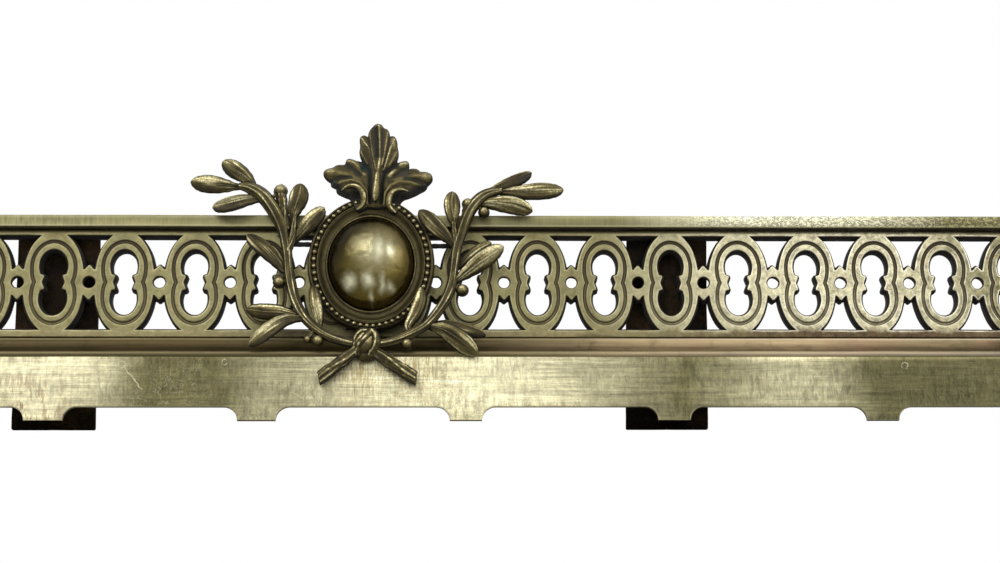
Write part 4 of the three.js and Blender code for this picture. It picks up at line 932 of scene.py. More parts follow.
def iron_bar(name, run, section, node, shift=(0.0, 0.0), height=STRAP_TOP):
    """A flat or angle iron standing up behind a run: its plan section [(s, d)], forged a little uneven and
    standing off its place by shift at its foot and its head."""
    place = RUNS[run][0]
    shell = Shell()
    levels = [(0.0, 1.2), (0.35, 0.5), (1.2, 0.0)]
    levels += [(3 + i * (height - 6) / 24, 0.0) for i in range(25)]
    levels += [(height - 1.2, 0.0), (height - 0.35, 0.5), (height, 1.2)]
    middle = Vector((sum(s for s, d in section) / len(section), sum(d for s, d in section) / len(section)))
    rings = []
    for z, inset in levels:
        ring = []
        for s, d in section:
            pull = (middle - Vector((s, d))).normalized() * inset * 0.5
            p = place(s + pull.x + shift[0] + (shift[1] - shift[0]) * z / height, d + pull.y, z)
            drift = noise.noise_vector(p / 13) * 0.22 + noise.noise_vector(p / 60) * 0.35
            ring.append((p + Vector((drift.x, drift.y, 0)), 0.0, 0.0))
        rings.append(shell.line(ring))
    shell.capped(rings)
    return dress(shell.piece(name, strap_iron, angle=50), "strap_iron", node)


def flat_section(s0, s1, d0=STRAP_FRONT + 0.1, d1=STRAP_BACK):
    across = [s0 + 0.6 + (s1 - s0 - 1.2) * i / 10 for i in range(11)]
    front = [(s0, d0 + 0.5)] + [(s, d0) for s in across] + [(s1, d0 + 0.5)]
    back = [(s1, d1 - 0.5)] + [(s, d1) for s in across[::-1]] + [(s0, d1 - 0.5)]
    return front + back


def subdivided(corners, step=5.0):
    """A closed outline with extra points, and its corners taken off a little."""
    out = []
    for i, corner in enumerate(corners):
        a = Vector(corner)
        b = Vector(corners[(i + 1) % len(corners)])
        way = b - a
        count = max(1, round((way.length - 1.2) / step))
        for k in range(count + 1):
            out.append(tuple(a + way.normalized() * (0.6 + (way.length - 1.2) * k / count)))
    return out


STRAP_PLACES = {"strap_front_1": ("front", -225), "strap_front_2": ("front", 225),
                "strap_left_1": ("left", 225), "strap_right_1": ("right", 225)}
STRAP_SHIFTS = {"strap_front_1": (-0.7, -4.2), "strap_front_2": (-6.0, -2.2)}
for node, (run, s) in STRAP_PLACES.items():
    iron_bar(f"{node}_bar", run, flat_section(s - 30, s + 30), node, STRAP_SHIFTS.get(node, (0.0, 0.0)))
for side, node in ((-1, "angle_iron_left"), (1, "angle_iron_right")):
    edge, inner, leg = HALF_FRONT - STRAP_FRONT - 0.1, HALF_FRONT - STRAP_BACK, 46
    corners = [(edge - leg, STRAP_FRONT + 0.1), (edge, STRAP_FRONT + 0.1), (edge, STRAP_FRONT + leg),
               (inner, STRAP_FRONT + leg), (inner, STRAP_BACK), (edge - leg, STRAP_BACK)]
    iron_bar(f"{node}_bar", "front", subdivided([(side * s, d) for s, d in corners]), node)

RIVET_R, RIVET_TIP, RIVET_SIDES = 1.9, 9.0, 20
RIVET_HEIGHTS = (("rail", 150.4), ("base", 57.5))
HEAD = [(RIVET_R, STRAP_BACK), (3.6, STRAP_BACK + 0.15), (3.65, STRAP_BACK + 0.6), (3.3, STRAP_BACK + 1.2),
        (2.5, STRAP_BACK + 1.75), (1.3, STRAP_BACK + 2.05)]
RIVET_ROWS = {
    "front": [-245, -205, 205, 245, -558, 558],
    "left": [205, 245, 42],
    "right": [205, 245, 42],
}
for run, rows in RIVET_ROWS.items():
    place = RUNS[run][0]
    shell = Shell()
    nodes = []
    for i, s in enumerate(rows):
        for name, z in RIVET_HEIGHTS:
            nodes.append(f"rivet_{run}_{name}_{i + 1}")
            tilt = noise.noise_vector(Vector((s, z, 3.0))) * 0.4
            rings = []
            for r, d in [(RIVET_R, RIVET_TIP)] + HEAD:
                turns = [2 * math.pi * k / RIVET_SIDES for k in range(RIVET_SIDES)]
                rings.append(shell.loop([place(s + r * math.cos(a) + tilt.x * (r > 3), d,
                                               z + r * math.sin(a) + tilt.y * (r > 3)) for a in turns]))
            shell.bands(rings)
            shell.fan(rings[0], place(s, RIVET_TIP, z))
            shell.fan(rings[-1], place(s + tilt.x, STRAP_BACK + 2.15, z + tilt.y))
    dress(shell.piece(f"rivets_{run}", rivet_iron), "rivet_iron", *nodes)


# ------------------------------------------------------------------ applied ornament
DRAWN_RISE = 1.07
FRONTWARDS = Vector((0, -1, 0))


def drawn(across, up, depth):
    """A point of the ornament's drawing, from the middle of the boss, as a placed one."""
    return front_place(BOSS_X + across, depth, BOSS_Z + up * DRAWN_RISE)


def between(stops, t):
    """A smooth value at t through (t, value) stops."""
    for (t0, v0), (t1, v1) in zip(stops, stops[1:]):
        if t <= t1:
            u = (t - t0) / (t1 - t0)
            return v0 + (v1 - v0) * u * u * (3 - 2 * u)
    return stops[-1][1]


def hump(value, middle, width):
    return math.exp(-((value - middle) / width) ** 2)


ACROSS = [-1, -0.97, -0.9, -0.82, -0.72, -0.58, -0.42, -0.27, -0.15, -0.08, 0,
          0.08, 0.15, 0.27, 0.42, 0.58, 0.72, 0.82, 0.9, 0.97, 1]
BEHIND = [0.86, 0.4, -0.4, -0.86]


def blade(shell, line, widths, face, thick=1.6, roll=0.0, count=26):
    """A leaf or lobe along placed points: face(u, t, half) gives the height, edge and dirt across it; its back
    is painted dark, as shade.
    """
    path = smooth_line(line, count)
    rings = []
    for k, p in enumerate(path):
        t = k / count
        along = (path[min(k + 1, count)] - path[max(k - 1, 0)]).normalized()
        side = along.cross(FRONTWARDS).normalized()
        out = side.cross(along)
        side = side * math.cos(roll) + out * math.sin(roll)
        out = side.cross(along)
        half = between(widths, t)
        ring = []
        for u in ACROSS:
            height, edge, dirt_and_shade = face(u, t, half)
            ring.append((p + side * u * half + out * height, edge, dirt_and_shade))
        deep = thick * min(1, half / 2.5)
        # the back is painted dark, as shade
        for u in BEHIND:
            ring.append((p + side * u * half - out * deep, 0.0, 0.8))
        rings.append(shell.line(ring))
    shell.bands(rings)
    shell.fan(rings[0], path[0], 0.0, 0.8)
    shell.fan(rings[-1], path[-1], 0.6, 0.2)


def laurel_face(seed, fold, lit, light):
    """A laurel leaf: a smooth swelling with a thin raised midrib and fine chased lines; the half towards the
    light has a painted highlight, the other half painted shade, and the outline is painted dark as shade.
    """
    def face(u, t, half):
        a = abs(u)
        swell = 1.6 * (1 - a ** 2.4) * min(1, half / 4)
        rib = hump(u, 0, 0.05) * (1.1 - t)
        height = swell + 0.45 * rib - fold * u * half * 0.45 - 0.3 * hump(a, 0.13, 0.07) * (1 - t)
        lines = noise.noise(Vector((u * 7.5, t * 2.2, seed)))
        patch = noise.noise(Vector((u * 1.3, t * 2.4, seed + 9.0)))
        height += 0.14 * lines * min(1, half / 3)
        height -= 1.6 * max(0, (a - 0.84) / 0.16) ** 2
        # painted light: lighter on the half towards the light and in random patches
        facing = 0.25 + light + 0.5 * u * lit + 1.0 * patch + 0.9 * lines
        edge = max(1.0 * rib, facing * (1 - max(0, (a - 0.74) / 0.26) ** 2),
                   hump(a, 0.82, 0.06) * (0.35 + patch + u * lit * 0.4))
        dirt_and_shade = max(0.95 * max(0, (a - 0.84) / 0.16), 0.7 * hump(a, 0.13, 0.06) * (1 - t),
                   0.8 * hump(t, 0, 0.12),
                   -0.55 * facing, 0.25 * max(0, -u * lit))
        return height, max(0, min(0.95, edge)), min(1, dirt_and_shade)
    return face


LEAF_WIDTHS = [(0, 0.3), (0.12, 0.44), (0.28, 0.74), (0.46, 0.97), (0.62, 1.05), (0.76, 1.0), (0.87, 0.83),
               (0.94, 0.62), (0.98, 0.4), (1, 0.14)]


def laurel_leaf(shell, line, width, seed, fold, roll, light=0.0):
    points = [drawn(*p) for p in line]
    widths = [(t, w * width / 2) for t, w in LEAF_WIDTHS]
    way = (points[-1] - points[0]).normalized()
    lit = -0.9 * way.x - 0.4 * way.z            # light falls from the upper left
    blade(shell, points, widths, laurel_face(seed, fold, lit, light), 1.5, roll)


RIDGES = [(-52, 0.6), (-20, 0.85), (14, 1.0), (47, 0.6)]
CUT_RIDGES = [(-44, 0.75), (-28, 0.5), (-6, 1.0), (22, 0.45), (40, 0.6)]
STOUT = 1.12                        # of the branches' wood against the drawn radii
STEM_TURNS = 48                     # points round a stem
STEM_END = [(0.1, 0.5, 0.25, 0.2), (0.28, 0.9, 0.1, 0.45)]     # share inwards, mm ahead, edge, dirt


def stem(shell, line, count=40, cut=None, ridges=RIDGES, broad=7.0):
    """A woody stem through (across, up, depth, radius), with raised lines in front that carry painted
    highlights, and sides darkened with painted shade; cut slants the end.
    """
    path = smooth_line([(*drawn(*at), r) for *at, r in line], count)
    radii = [p[3] for p in path]
    path = [p.to_3d() for p in path]
    rings = []
    turns = [-180 + 360 / STEM_TURNS * i for i in range(STEM_TURNS)]
    for k, p in enumerate(path):
        t = k / count
        along = (path[min(k + 1, count)] - path[max(k - 1, 0)]).normalized()
        side = along.cross(FRONTWARDS).normalized()
        out = side.cross(along)
        r = radii[k] * (1 + 0.05 * math.sin(17 * t) + 0.03 * math.sin(41 * t + 1))
        ring = []
        for turn in turns:
            lift = sum(share * hump(turn + 12 * math.sin(5 * t + at), at, broad) for at, share in ridges)
            lift *= 0.85 + 0.7 * noise.noise(Vector((turn / 40, t * 9, line[0][0])))
            reach = r * (0.93 + 0.14 * lift)
            a = math.radians(turn)
            q = p + side * reach * math.sin(a) + out * reach * math.cos(a)
            if cut and k == count:
                q += along * cut * math.sin(a) * r
            patch = noise.noise(Vector((turn / 30, t * 14, line[0][1])))
            # painted shade on the sides turned away, and dirt between the raised lines
            soil_and_shade = max(0.12 * (1 - lift) - 0.3 * patch, min(1, (abs(turn) - 44) / 34) * (1 - 0.7 * lift))
            ring.append((q, max(0.05, min(1, lift * 1.6 - 0.2), 0.5 * patch), max(0, soil_and_shade)))
        rings.append(shell.line(ring))
    shell.bands(rings)
    shell.fan(rings[0], path[0], 0, 0.8)
    ahead = (path[-1] - path[-2]).normalized()
    end = [rings[-1]]
    for share, push, edge, dirt_and_shade in STEM_END:
        end.append(shell.line([(shell.points[i].lerp(path[-1], share) + ahead * push, edge, dirt_and_shade)
                               for i in rings[-1]]))
    shell.bands(end)
    shell.fan(end[-1], path[-1] + ahead, 0.05, 0.5)


def ball(shell, centre, rx, ry, rz, edge_side=0.55, rings=12, sides=20, lumps=0.04):
    """A cast ball with a painted highlight in front and above, and painted shade behind."""
    loops = []
    for i in range(1, rings):
        a = math.pi * i / rings
        ring = []
        for k in range(sides):
            b = 2 * math.pi * k / sides
            way = Vector((math.sin(a) * math.cos(b), -math.cos(a), math.sin(a) * math.sin(b)))
            bump = 1 + lumps * noise.noise(way * 2.3 + centre * 0.13)
            p = centre + Vector((way.x * rx, way.y * ry, way.z * rz)) * bump
            lit = max(0, -way.y + 0.35 * way.z)
            ring.append((p, min(1, edge_side * lit ** 2 * 1.4), min(0.9, max(0, way.y + 0.35) * 1.4)))
        loops.append(shell.line(ring))
    shell.bands(loops)
    shell.fan(loops[0], centre - Vector((0, ry, 0)), edge_side, 0)
    shell.fan(loops[-1], centre + Vector((0, ry, 0)), 0, 0.9)


def nearest(lines, at):
    """The point of some lines, flat to the drawing, nearest to a drawn point."""
    best, least = None, 1e9
    for line in lines:
        for a, b in zip(line, line[1:]):
            a, b = Vector(a), Vector(b)
            way = Vector((b.x - a.x, b.y - a.y))
            to = Vector((at[0] - a.x, at[1] - a.y))
            share = max(0, min(1, to.dot(way) / way.length_squared))
            foot = a.lerp(b, share)
            far = math.hypot(foot.x - at[0], foot.y - at[1])
            if far < least:
                best, least = foot, far
    return best


def branch_piece(name, branch, node):
    shell = Shell()
    wood = [[at[:3] for at in branch["stem"]], [at[:3] for at in branch["twig"]]]
    for part, count in (("stem", 110), ("twig", 20), ("stalk", 20)):
        stem(shell, [(*at[:3], at[3] * STOUT) for at in branch[part]], count)
    for i, (line, width, *shape) in enumerate(branch["leaves"]):
        root = nearest(wood, line[0])
        laurel_leaf(shell, [tuple(root)] + line, width, i * 1.7 + len(node), *shape)
    for at, r in branch["berries"]:
        root = nearest(wood, at)
        stem(shell, [(*root, 1.5), (*((root + Vector(at)) / 2), 1.4), (*at, 1.2)], 8)
        ball(shell, drawn(*at), r, r * 0.95, r, 0.5, lumps=0.12)
        ball(shell, drawn(*at) + Vector((0, r * 0.35, 0)), r * 1.12, r * 0.4, r * 1.12, 0.1)
    a, b = [Vector(p) for p in branch["web"]]
    first = len(shell.points)
    stem(shell, [(*a, 1.9), (*a.lerp(b, 0.5), 1.9), (*b, 1.9)], 10)
    for i in range(first, len(shell.points)):
        shell.edge[i], shell.dirt_and_shade[i] = 0.0, 0.9
    return dress(shell.piece(name, bronze, angle=50), "ornament_bronze", node)


LEFT_BRANCH = {
    "stem": [(-4, -58, -26.5, 3.2), (-14, -57.8, -26, 3.3), (-29, -53.2, -24.5, 3.6), (-40, -46, -22, 3.8),
             (-48, -37.5, -19, 3.8), (-54, -26.5, -16, 3.6), (-57.5, -15, -14, 3.6),
             (-59.5, -4.5, -13, 3.6), (-61, 8, -13, 3.6), (-63.5, 19.5, -13, 3.8),
             (-66.7, 29.3, -13.5, 4.4), (-72.5, 39.2, -14, 5), (-80, 48, -14, 5.2),
             (-89.3, 53.6, -13.5, 4.4), (-97, 55.2, -13, 2.8)],
    "twig": [(-60.5, 8, -13.5, 2.6), (-57.2, 17.7, -14.5, 2.7), (-56.4, 26.4, -14, 2.2),
             (-56.2, 33, -14, 1.6)],
    "stalk": [(-62.5, 24, -12.5, 3), (-64.9, 39, -12.5, 3.8), (-66.9, 50, -13, 4)],
    "leaves": [
        ([(-97, 54.6, -13.5), (-108, 55, -15), (-121, 56.2, -15.5), (-133, 58.2, -12.5)], 13.3, 0.15, 0.15),
        ([(-88, 57, -13.5), (-93, 61.5, -15), (-101, 66.4, -15.5), (-110.2, 73, -12.5)], 12.8, 0.1, 0.2),
        ([(-82, 46, -14), (-91, 45, -15.5), (-102, 42.6, -15.5), (-116.4, 39.9, -12.5)], 15.0, 0.45, -0.3),
        ([(-57.5, 31, -14), (-55.8, 38.5, -15.5), (-53.4, 46.7, -15.5), (-52.1, 57, -13)], 13.6, 0.2, 0),
        ([(-54.7, 17, -14.5), (-49.5, 22.5, -17), (-43.5, 29, -19), (-34.5, 38.6, -18)], 12.2, 0.25, 0.1),
        ([(-63, -4.8, -14), (-70, 3, -16), (-78.6, 11, -17), (-90, 20.3, -14)], 13.6, 0.45, -0.35, 0.1),
        ([(-53, -36.5, -15), (-65, -34.5, -14.6), (-77, -33.8, -13.6), (-90, -31.8, -11.5)], 11.4, 0.3, 0.3),
        ([(-49, -40, -21.5), (-60, -41.6, -24.2), (-72, -48.6, -26), (-85.8, -59.4, -24.5)], 13.2, 0.4, -0.2,
         0.25),
        ([(-35.7, -48.4, -22), (-37.1, -37.9, -21.5), (-39.5, -27.4, -21), (-41.3, -16.5, -19)], 9, 0.3,
         0.2)],
    "berries": [((-66.9, 51.6, -14), 4.8), ((-66.1, -13.6, -15.5), 4.2), ((-36.6, -57, -27), 4),
                ((-44, -55.8, -26), 2.6)],
    "web": [(-60, 14, -11), (-44, 14, -11)],
}
RIGHT_BRANCH = {
    "stem": [(-4, -58, -26.5, 3.2), (4.5, -59, -26.5, 3.2), (12, -58.3, -26.5, 3.2),
             (22, -55.2, -25.5, 3.5), (31.2, -51, -24.5, 3.6), (40.4, -45, -22, 3.6),
             (48.2, -35.8, -18.5, 3.6), (54.6, -25.5, -16, 3.6), (58.6, -15.3, -14.5, 3.5),
             (60.4, -3.1, -13.5, 3.5), (61.8, 8.2, -13.5, 3.7), (64.8, 18.9, -13.5, 3.8),
             (68.4, 29.6, -13.5, 4), (72.8, 38.6, -14, 4.3), (79, 45.6, -14, 4.5), (86.5, 50, -14, 3.9),
             (95, 52.2, -13, 2.8)],
    "twig": [(62, 8.1, -14, 2.3), (61.5, 16.5, -14.5, 2.3), (60.4, 25.1, -14, 2), (60, 32, -14, 1.6)],
    "stalk": [(66, 22, -12.5, 2.8), (69, 34, -12.5, 3.4), (70.6, 41, -13, 3.4)],
    "leaves": [
        ([(94, 51.5, -13.5), (109, 51, -15), (125, 51.8, -15.5), (141, 53, -12.5)], 12.8, 0.2, 0.1, 0.2),
        ([(87, 52.6, -13), (96, 56, -14), (106, 59.8, -14), (117.6, 66, -11.5)], 9.6, 0.1, 0.2),
        ([(79, 42.4, -14), (90.4, 42.4, -15.5), (104, 41, -16), (118, 37.3, -13)], 13, 0.45, -0.2, 0.5),
        ([(60.4, 26, -14), (59.3, 34.6, -16), (58.9, 42.6, -15.5), (59.2, 51.6, -13)], 11.8, 0.2, 0),
        ([(60, 12.6, -14.5), (54, 19, -17), (45.6, 26.4, -19), (34.8, 36.6, -18)], 12.4, 0.25, 0.1),
        ([(61.5, -12.8, -14.5), (70.6, -6.3, -16.5), (82.2, 2.2, -17), (96.5, 12.1, -14)], 13.8, 0.45, -0.3,
         0.35),
        ([(62.5, -2.7, -12), (70, 4.8, -11.5), (78.4, 11, -11), (87.5, 16.2, -10.5)], 8.6, 0.2, 0.3),
        ([(41, -43.6, -15), (54, -43.6, -16), (67.6, -46.6, -17.5), (83.4, -50.8, -18)], 10.2, 0.3, 0.3,
         -0.2),
        ([(43, -45.8, -22), (53, -48.8, -25), (64.4, -56.2, -26.5), (76.9, -65.9, -26)], 14.4, 0.4, -0.2,
         0.35),
        ([(27.5, -45.5, -22), (32.4, -36.5, -21.5), (35.6, -28.1, -21), (36.8, -18, -19)], 9.6, 0.3, 0.2,
         0.25)],
    "berries": [((70.6, 42.5, -13.5), 4.2), ((82.3, 36.6, -14), 3.9), ((66.4, -19, -15.5), 4.3),
                ((27, -59.1, -27), 4)],
    "web": [(61, 13, -11), (44, 13, -11)],
}
branch_piece("laurel_left", LEFT_BRANCH, "laurel_branch_left")
branch_piece("laurel_right", RIGHT_BRANCH, "laurel_branch_right")


def oval_loop(shell, half_w, half_h, depth, edge, dirt_and_shade, sides=128, flat=0.0):
    ring = []
    for i in range(sides):
        a = 2 * math.pi * i / sides
        p = front_place(BOSS_X + half_w * math.cos(a), depth, BOSS_Z + half_h * math.sin(a))
        ring.append(p + noise.noise_vector(p / 17) * flat)
    return shell.loop(ring, edge, dirt_and_shade)


FRAME_RINGS = [
    (43.4, 47.6, -6.3, 0.0, 0.9), (45.0, 49.2, -6.4, 0, 0.9), (46.2, 50.4, -8.2, 0, 0.9),
    (46.3, 50.5, -10.5, 0, 0.7), (46.1, 50.3, -13.2, 0.0, 0.4), (45.6, 49.9, -14.8, 0.1, 0.2),
    (44.8, 49.4, -15.6, 0.25, 0.1), (44.0, 49.1, -15.7, 0.15, 0.2), (43.4, 48.9, -15.1, 0, 0.35),
    (43.0, 48.7, -14.5, 0, 0.42), (41.4, 47.2, -14.4, 0, 0.32), (39.9, 45.7, -14.6, 0, 0.32),
    (39.5, 45.3, -15.3, 0.12, 0.2), (39.1, 44.9, -15.8, 0.26, 0.1), (38.6, 44.4, -15.8, 0.15, 0.15),
    (38.1, 43.9, -15.2, 0, 0.35), (37.8, 43.4, -15.3, 0.25, 0.05), (37.2, 42.6, -14.6, 0.18, 0.08),
    (36.4, 41.6, -13.6, 0.15, 0.05), (35.4, 40.3, -12.9, 0.15, 0.05), (34.4, 39.1, -12.5, 0.16, 0.05),
    (33.6, 38.0, -12.5, 0.15, 0.12), (33.0, 37.2, -12.9, 0.15, 0.35), (32.6, 36.7, -13.5, 0.45, 0.1),
    (32.1, 36.1, -13.7, 0.5, 0.0), (31.6, 35.5, -13.3, 0.3, 0.3), (31.3, 35.1, -12.4, 0, 0.8),
    (30.9, 34.7, -11.3, 0, 0.95)]
shell = Shell()
loops = [oval_loop(shell, w, h, d, e, f, flat=0.1) for w, h, d, e, f in FRAME_RINGS]
shell.bands(loops)
shell.fan(loops[0], front_place(BOSS_X, -6.3, BOSS_Z), 0, 0.9)
shell.fan(loops[-1], front_place(BOSS_X, -11.3, BOSS_Z), 0, 0.9)
dress(shell.piece("oval_frame_cast", bronze, angle=55), "ornament_bronze", "oval_frame")

PEARLS, PEARL_HALF_W, PEARL_HALF_H = 56, 41.4, 47.2
shell = Shell()
for i in range(PEARLS):
    a = 2 * math.pi * (i + 0.5) / PEARLS
    shift = noise.noise_vector(Vector((i * 1.3, 2.0, 5.0))) * 0.12
    middle = front_place(BOSS_X + PEARL_HALF_W * math.cos(a), -15.5,
                         BOSS_Z + PEARL_HALF_H * math.sin(a)) + shift
    ball(shell, middle, 1.75, 1.7, 1.75, 0.6, 8, 14, 0.14)
wire = [oval_loop(shell, PEARL_HALF_W + w, PEARL_HALF_H + w, d, 0.1, 0.25) for w, d in
        ((0.8, -14.6), (0.5, -15.2), (-0.5, -15.2), (-0.8, -14.6))]
for a, b in zip(wire, wire[1:] + wire[:1]):
    shell.band(a, b)
dress(shell.piece("pearl_ring_cast", bronze, angle=60), "ornament_bronze", "pearl_ring")

shell = Shell()
DOME_SEAT, DOME_RIM, DOME_RISE, DOME_RINGS = -11.3, -12.8, 17.2, 24
base = oval_loop(shell, BOSS_W, BOSS_H, DOME_SEAT, 0, 0.9)
rings = [base, oval_loop(shell, BOSS_W, BOSS_H, DOME_RIM, 0, 0.5)]
for i in range(1, DOME_RINGS):
    a = math.radians(90 * i / DOME_RINGS)
    depth = DOME_RIM - DOME_RISE * math.sin(a) ** 1.06
    rings.append(oval_loop(shell, BOSS_W * math.cos(a), BOSS_H * math.cos(a), depth, 0, 0, flat=0.12))
shell.bands(rings)
shell.fan(rings[-1], front_place(BOSS_X, DOME_RIM - DOME_RISE, BOSS_Z))
shell.fan(base, front_place(BOSS_X, DOME_SEAT, BOSS_Z), 0, 0.9)
dress(shell.piece("domed_boss_polished", boss_brass, angle=60), "boss_brass", "domed_boss")


# ------------------------------------------------------------------ acanthus crest
CREST_OUTLINE = [
    (3.9, 100.2), (5.6, 99.9), (6.9, 99.1), (7.8, 98.0), (8.6, 97.0), (10.6, 96.2), (11.9, 94.8),
    (12.6, 92.9), (12.9, 91.2), (15.1, 91.2), (16.7, 90.3), (17.8, 88.4), (18.4, 86.2), (18.5, 84.2),
    (18.9, 82.0), (19.3, 79.8), (19.3, 77.4), (18.9, 75.2), (18.4, 73.4), (18.9, 72.0), (20.4, 72.2),
    (22.0, 72.6), (24.0, 73.0), (25.7, 72.8), (27.0, 71.4), (27.3, 69.2), (27.0, 67.3), (28.6, 67.5),
    (30.6, 67.6), (33.0, 67.2), (34.6, 66.2), (35.6, 65.3), (38.9, 65.2), (41.2, 64.6), (43.2, 63.4),
    (44.4, 61.6), (44.5, 59.8), (43.6, 58.0), (42.0, 56.4), (40.8, 55.2), (40.2, 53.6), (38.6, 52.0),
    (35.4, 50.4), (32.6, 48.8), (29.5, 47.5), (26.6, 46.4), (24.4, 45.8), (22.2, 44.4), (20.8, 42.0),
    (19.8, 38.6), (18.8, 35.0), (16.6, 34.0), (13.8, 35.4), (11.4, 38.0), (7.6, 38.2), (2.8, 38.0),
    (-2.0, 38.4), (-5.2, 37.4), (-8.6, 36.0), (-11.2, 36.6), (-12.8, 39.4), (-14.2, 43.0), (-16.2, 45.8),
    (-19.2, 47.0), (-22.5, 48.4), (-25.0, 49.8), (-26.0, 51.2), (-25.8, 52.8), (-27.6, 53.8), (-29.6, 54.9),
    (-30.2, 56.2), (-29.8, 57.3), (-31.6, 58.4), (-33.4, 59.8), (-35.0, 61.6), (-35.7, 63.4), (-35.2, 65.0),
    (-33.8, 66.4), (-31.4, 67.4), (-28.8, 68.2), (-26.9, 69.4), (-24.6, 70.2), (-22.0, 70.2), (-20.0, 70.8),
    (-19.4, 72.4), (-18.4, 74.0), (-16.8, 74.6), (-14.4, 74.1), (-11.6, 73.1), (-9.2, 72.8), (-7.6, 73.0),
    (-8.4, 75.0), (-9.2, 77.4), (-9.5, 79.7), (-9.1, 82.0), (-9.0, 84.2), (-9.3, 86.4), (-9.4, 88.6),
    (-8.8, 90.4), (-7.2, 91.5), (-5.4, 91.5), (-3.5, 90.8), (-3.0, 93.0), (-2.2, 95.0), (-0.8, 97.0),
    (0.4, 98.2), (2.0, 99.6)]
RIDGE_LINES = [
    # points, height, half width, brightness
    ([(4.6, 98.6), (5.3, 88), (5.5, 73), (4.4, 66)], 0.9, 0.8, 0.75),
    ([(-8.0, 89.0), (-5.4, 85.3), (-2.0, 81.4), (0.2, 74.4), (1.6, 66)], 0.8, 0.7, 0.7),
    ([(-2.0, 93.0), (-1.0, 86), (-0.3, 80.2), (1.2, 73.0), (2.6, 66)], 0.6, 0.6, 0.55),
    ([(16.6, 88.6), (13.4, 81.7), (11.2, 74.5), (8.4, 65.8)], 0.8, 0.7, 0.7),
    ([(11.4, 94.6), (10.2, 86.1), (9.1, 78.8), (7.2, 69.4)], 0.6, 0.6, 0.55),
    ([(-8.6, 80.0), (-6.6, 75.4), (-3.4, 70.2)], 0.5, 0.6, 0.5),
    ([(18.4, 80.0), (15.8, 74.6), (12.6, 69.0)], 0.5, 0.6, 0.5),
    ([(1.4, 98.4), (4.2, 99.2), (7.4, 97.4)], 0.3, 0.9, 0.5),
    ([(-18.2, 72.6), (-14.6, 71.8), (-10.4, 68.6), (-5.4, 62.6)], 0.8, 1.5, 0.5),
    ([(26.4, 71.0), (21.6, 70.4), (17.6, 67.0), (12.8, 61.6)], 0.8, 1.6, 0.6),
    ([(-33.6, 64.2), (-26.3, 64.2), (-17.5, 62.2), (-9.4, 58.4)], 0.9, 2.3, 0.3),
    ([(42.6, 61.4), (35.3, 61.9), (26.5, 61.0), (18.2, 58.4)], 0.9, 2.3, 0.3),
    ([(-27.0, 53.4), (-22.4, 57.0), (-15.2, 58.4), (-8.2, 56.0), (-3.6, 49.6), (-3.2, 41)], 1.3, 1.5, 0.35),
    ([(35.6, 54.0), (27.6, 57.0), (20.2, 57.0), (13.8, 54.6), (9.8, 48.4), (9.2, 40)], 1.3, 1.5, 0.35)]
VALLEYS = [
    # points, depth, half width, dirt: dark patina and painted shade
    ([(-3.6, 92.0), (-2.6, 86.0), (-1.2, 80.0), (0.4, 73.0), (1.8, 66.0)], 0.5, 0.6, 0.5),
    ([(12.9, 91.6), (11.8, 84.0), (10.2, 76.0), (7.8, 67.0)], 0.5, 0.6, 0.55),
    ([(2.4, 96.0), (2.8, 86.0), (3.4, 76.0)], 0.9, 1.9, 0.55),
    ([(7.6, 95.0), (7.4, 86.0), (7.2, 76.0)], 0.5, 1.1, 0.4),
    ([(-7.8, 73.0), (-5.2, 69.4), (-1.6, 65.0), (-0.6, 55.0), (-0.4, 42.0)], 1.3, 1.5, 0.85),
    ([(18.6, 72.4), (14.4, 67.6), (9.0, 64.0), (7.2, 55.0), (6.6, 42.0)], 1.3, 1.4, 0.8),
    ([(-20.4, 70.2), (-14.8, 67.0), (-8.6, 62.0)], 0.7, 1.0, 0.55),
    ([(27.0, 67.2), (21.6, 65.4), (16.0, 61.0)], 0.7, 1.0, 0.55),
    ([(-29.8, 57.6), (-22.8, 60.6), (-14.8, 60.4)], 0.8, 1.0, 0.6),
    ([(41.0, 55.6), (32.0, 59.0), (24.0, 59.4)], 0.7, 1.0, 0.5),
    ([(-17.0, 47.6), (-22.0, 50.4), (-27.4, 55.6)], 1.0, 1.9, 0.95),
    ([(22.4, 46.4), (29.4, 49.6), (38.8, 53.4)], 1.2, 2.4, 0.95)]
BLOTS = [
    # middle, half sizes, lift, brightness as a painted highlight, dirt as painted shade
    ((-30.6, 65.0), (5.0, 3.2), 0.5, 0.62, 0.0), ((39.6, 61.4), (5.0, 3.0), 0.6, 0.62, 0.0),
    ((-13.4, 71.6), (4.0, 2.0), 0.3, 0.55, 0.0), ((21.6, 70.0), (4.6, 2.6), 0.4, 0.6, 0.0),
    ((15.8, 86.0), (2.0, 4.4), 0.3, 0.6, 0.0), ((-7.0, 86.4), (1.8, 3.0), 0.2, 0.45, 0.0),
    ((1.6, 88.0), (3.2, 7.0), -0.3, 0.0, 0.45), ((-10.8, 46.6), (6.0, 5.2), -3.6, 0.0, 1.0),
    ((18.6, 44.6), (5.6, 5.6), -3.6, 0.0, 1.0), ((-6.4, 67.6), (2.6, 3.4), -0.8, 0.0, 0.9),
    ((17.4, 68.6), (2.6, 2.4), -0.6, 0.0, 0.8), ((24.4, 62.6), (5.0, 2.4), 0.0, 0.0, 0.45)]
RIMS = [
    [(-21.4, 51.0, -17), (-18.6, 52.9, -18.4), (-15.2, 53.8, -19.4), (-11.2, 53.2, -20), (-7.8, 50.8, -20.4),
     (-5.8, 46.8, -20.4), (-5.7, 41.8, -20), (-7.6, 38.8, -19.4), (-10.4, 36.8, -18.4)],
    [(26.4, 50.4, -17), (22.6, 51.4, -18.4), (18.8, 51.0, -19.4), (15.4, 49.4, -20), (13.2, 45.6, -20.4),
     (12.5, 41.0, -20.2), (14.0, 37.6, -19.6), (17.6, 34.6, -18.4)]]
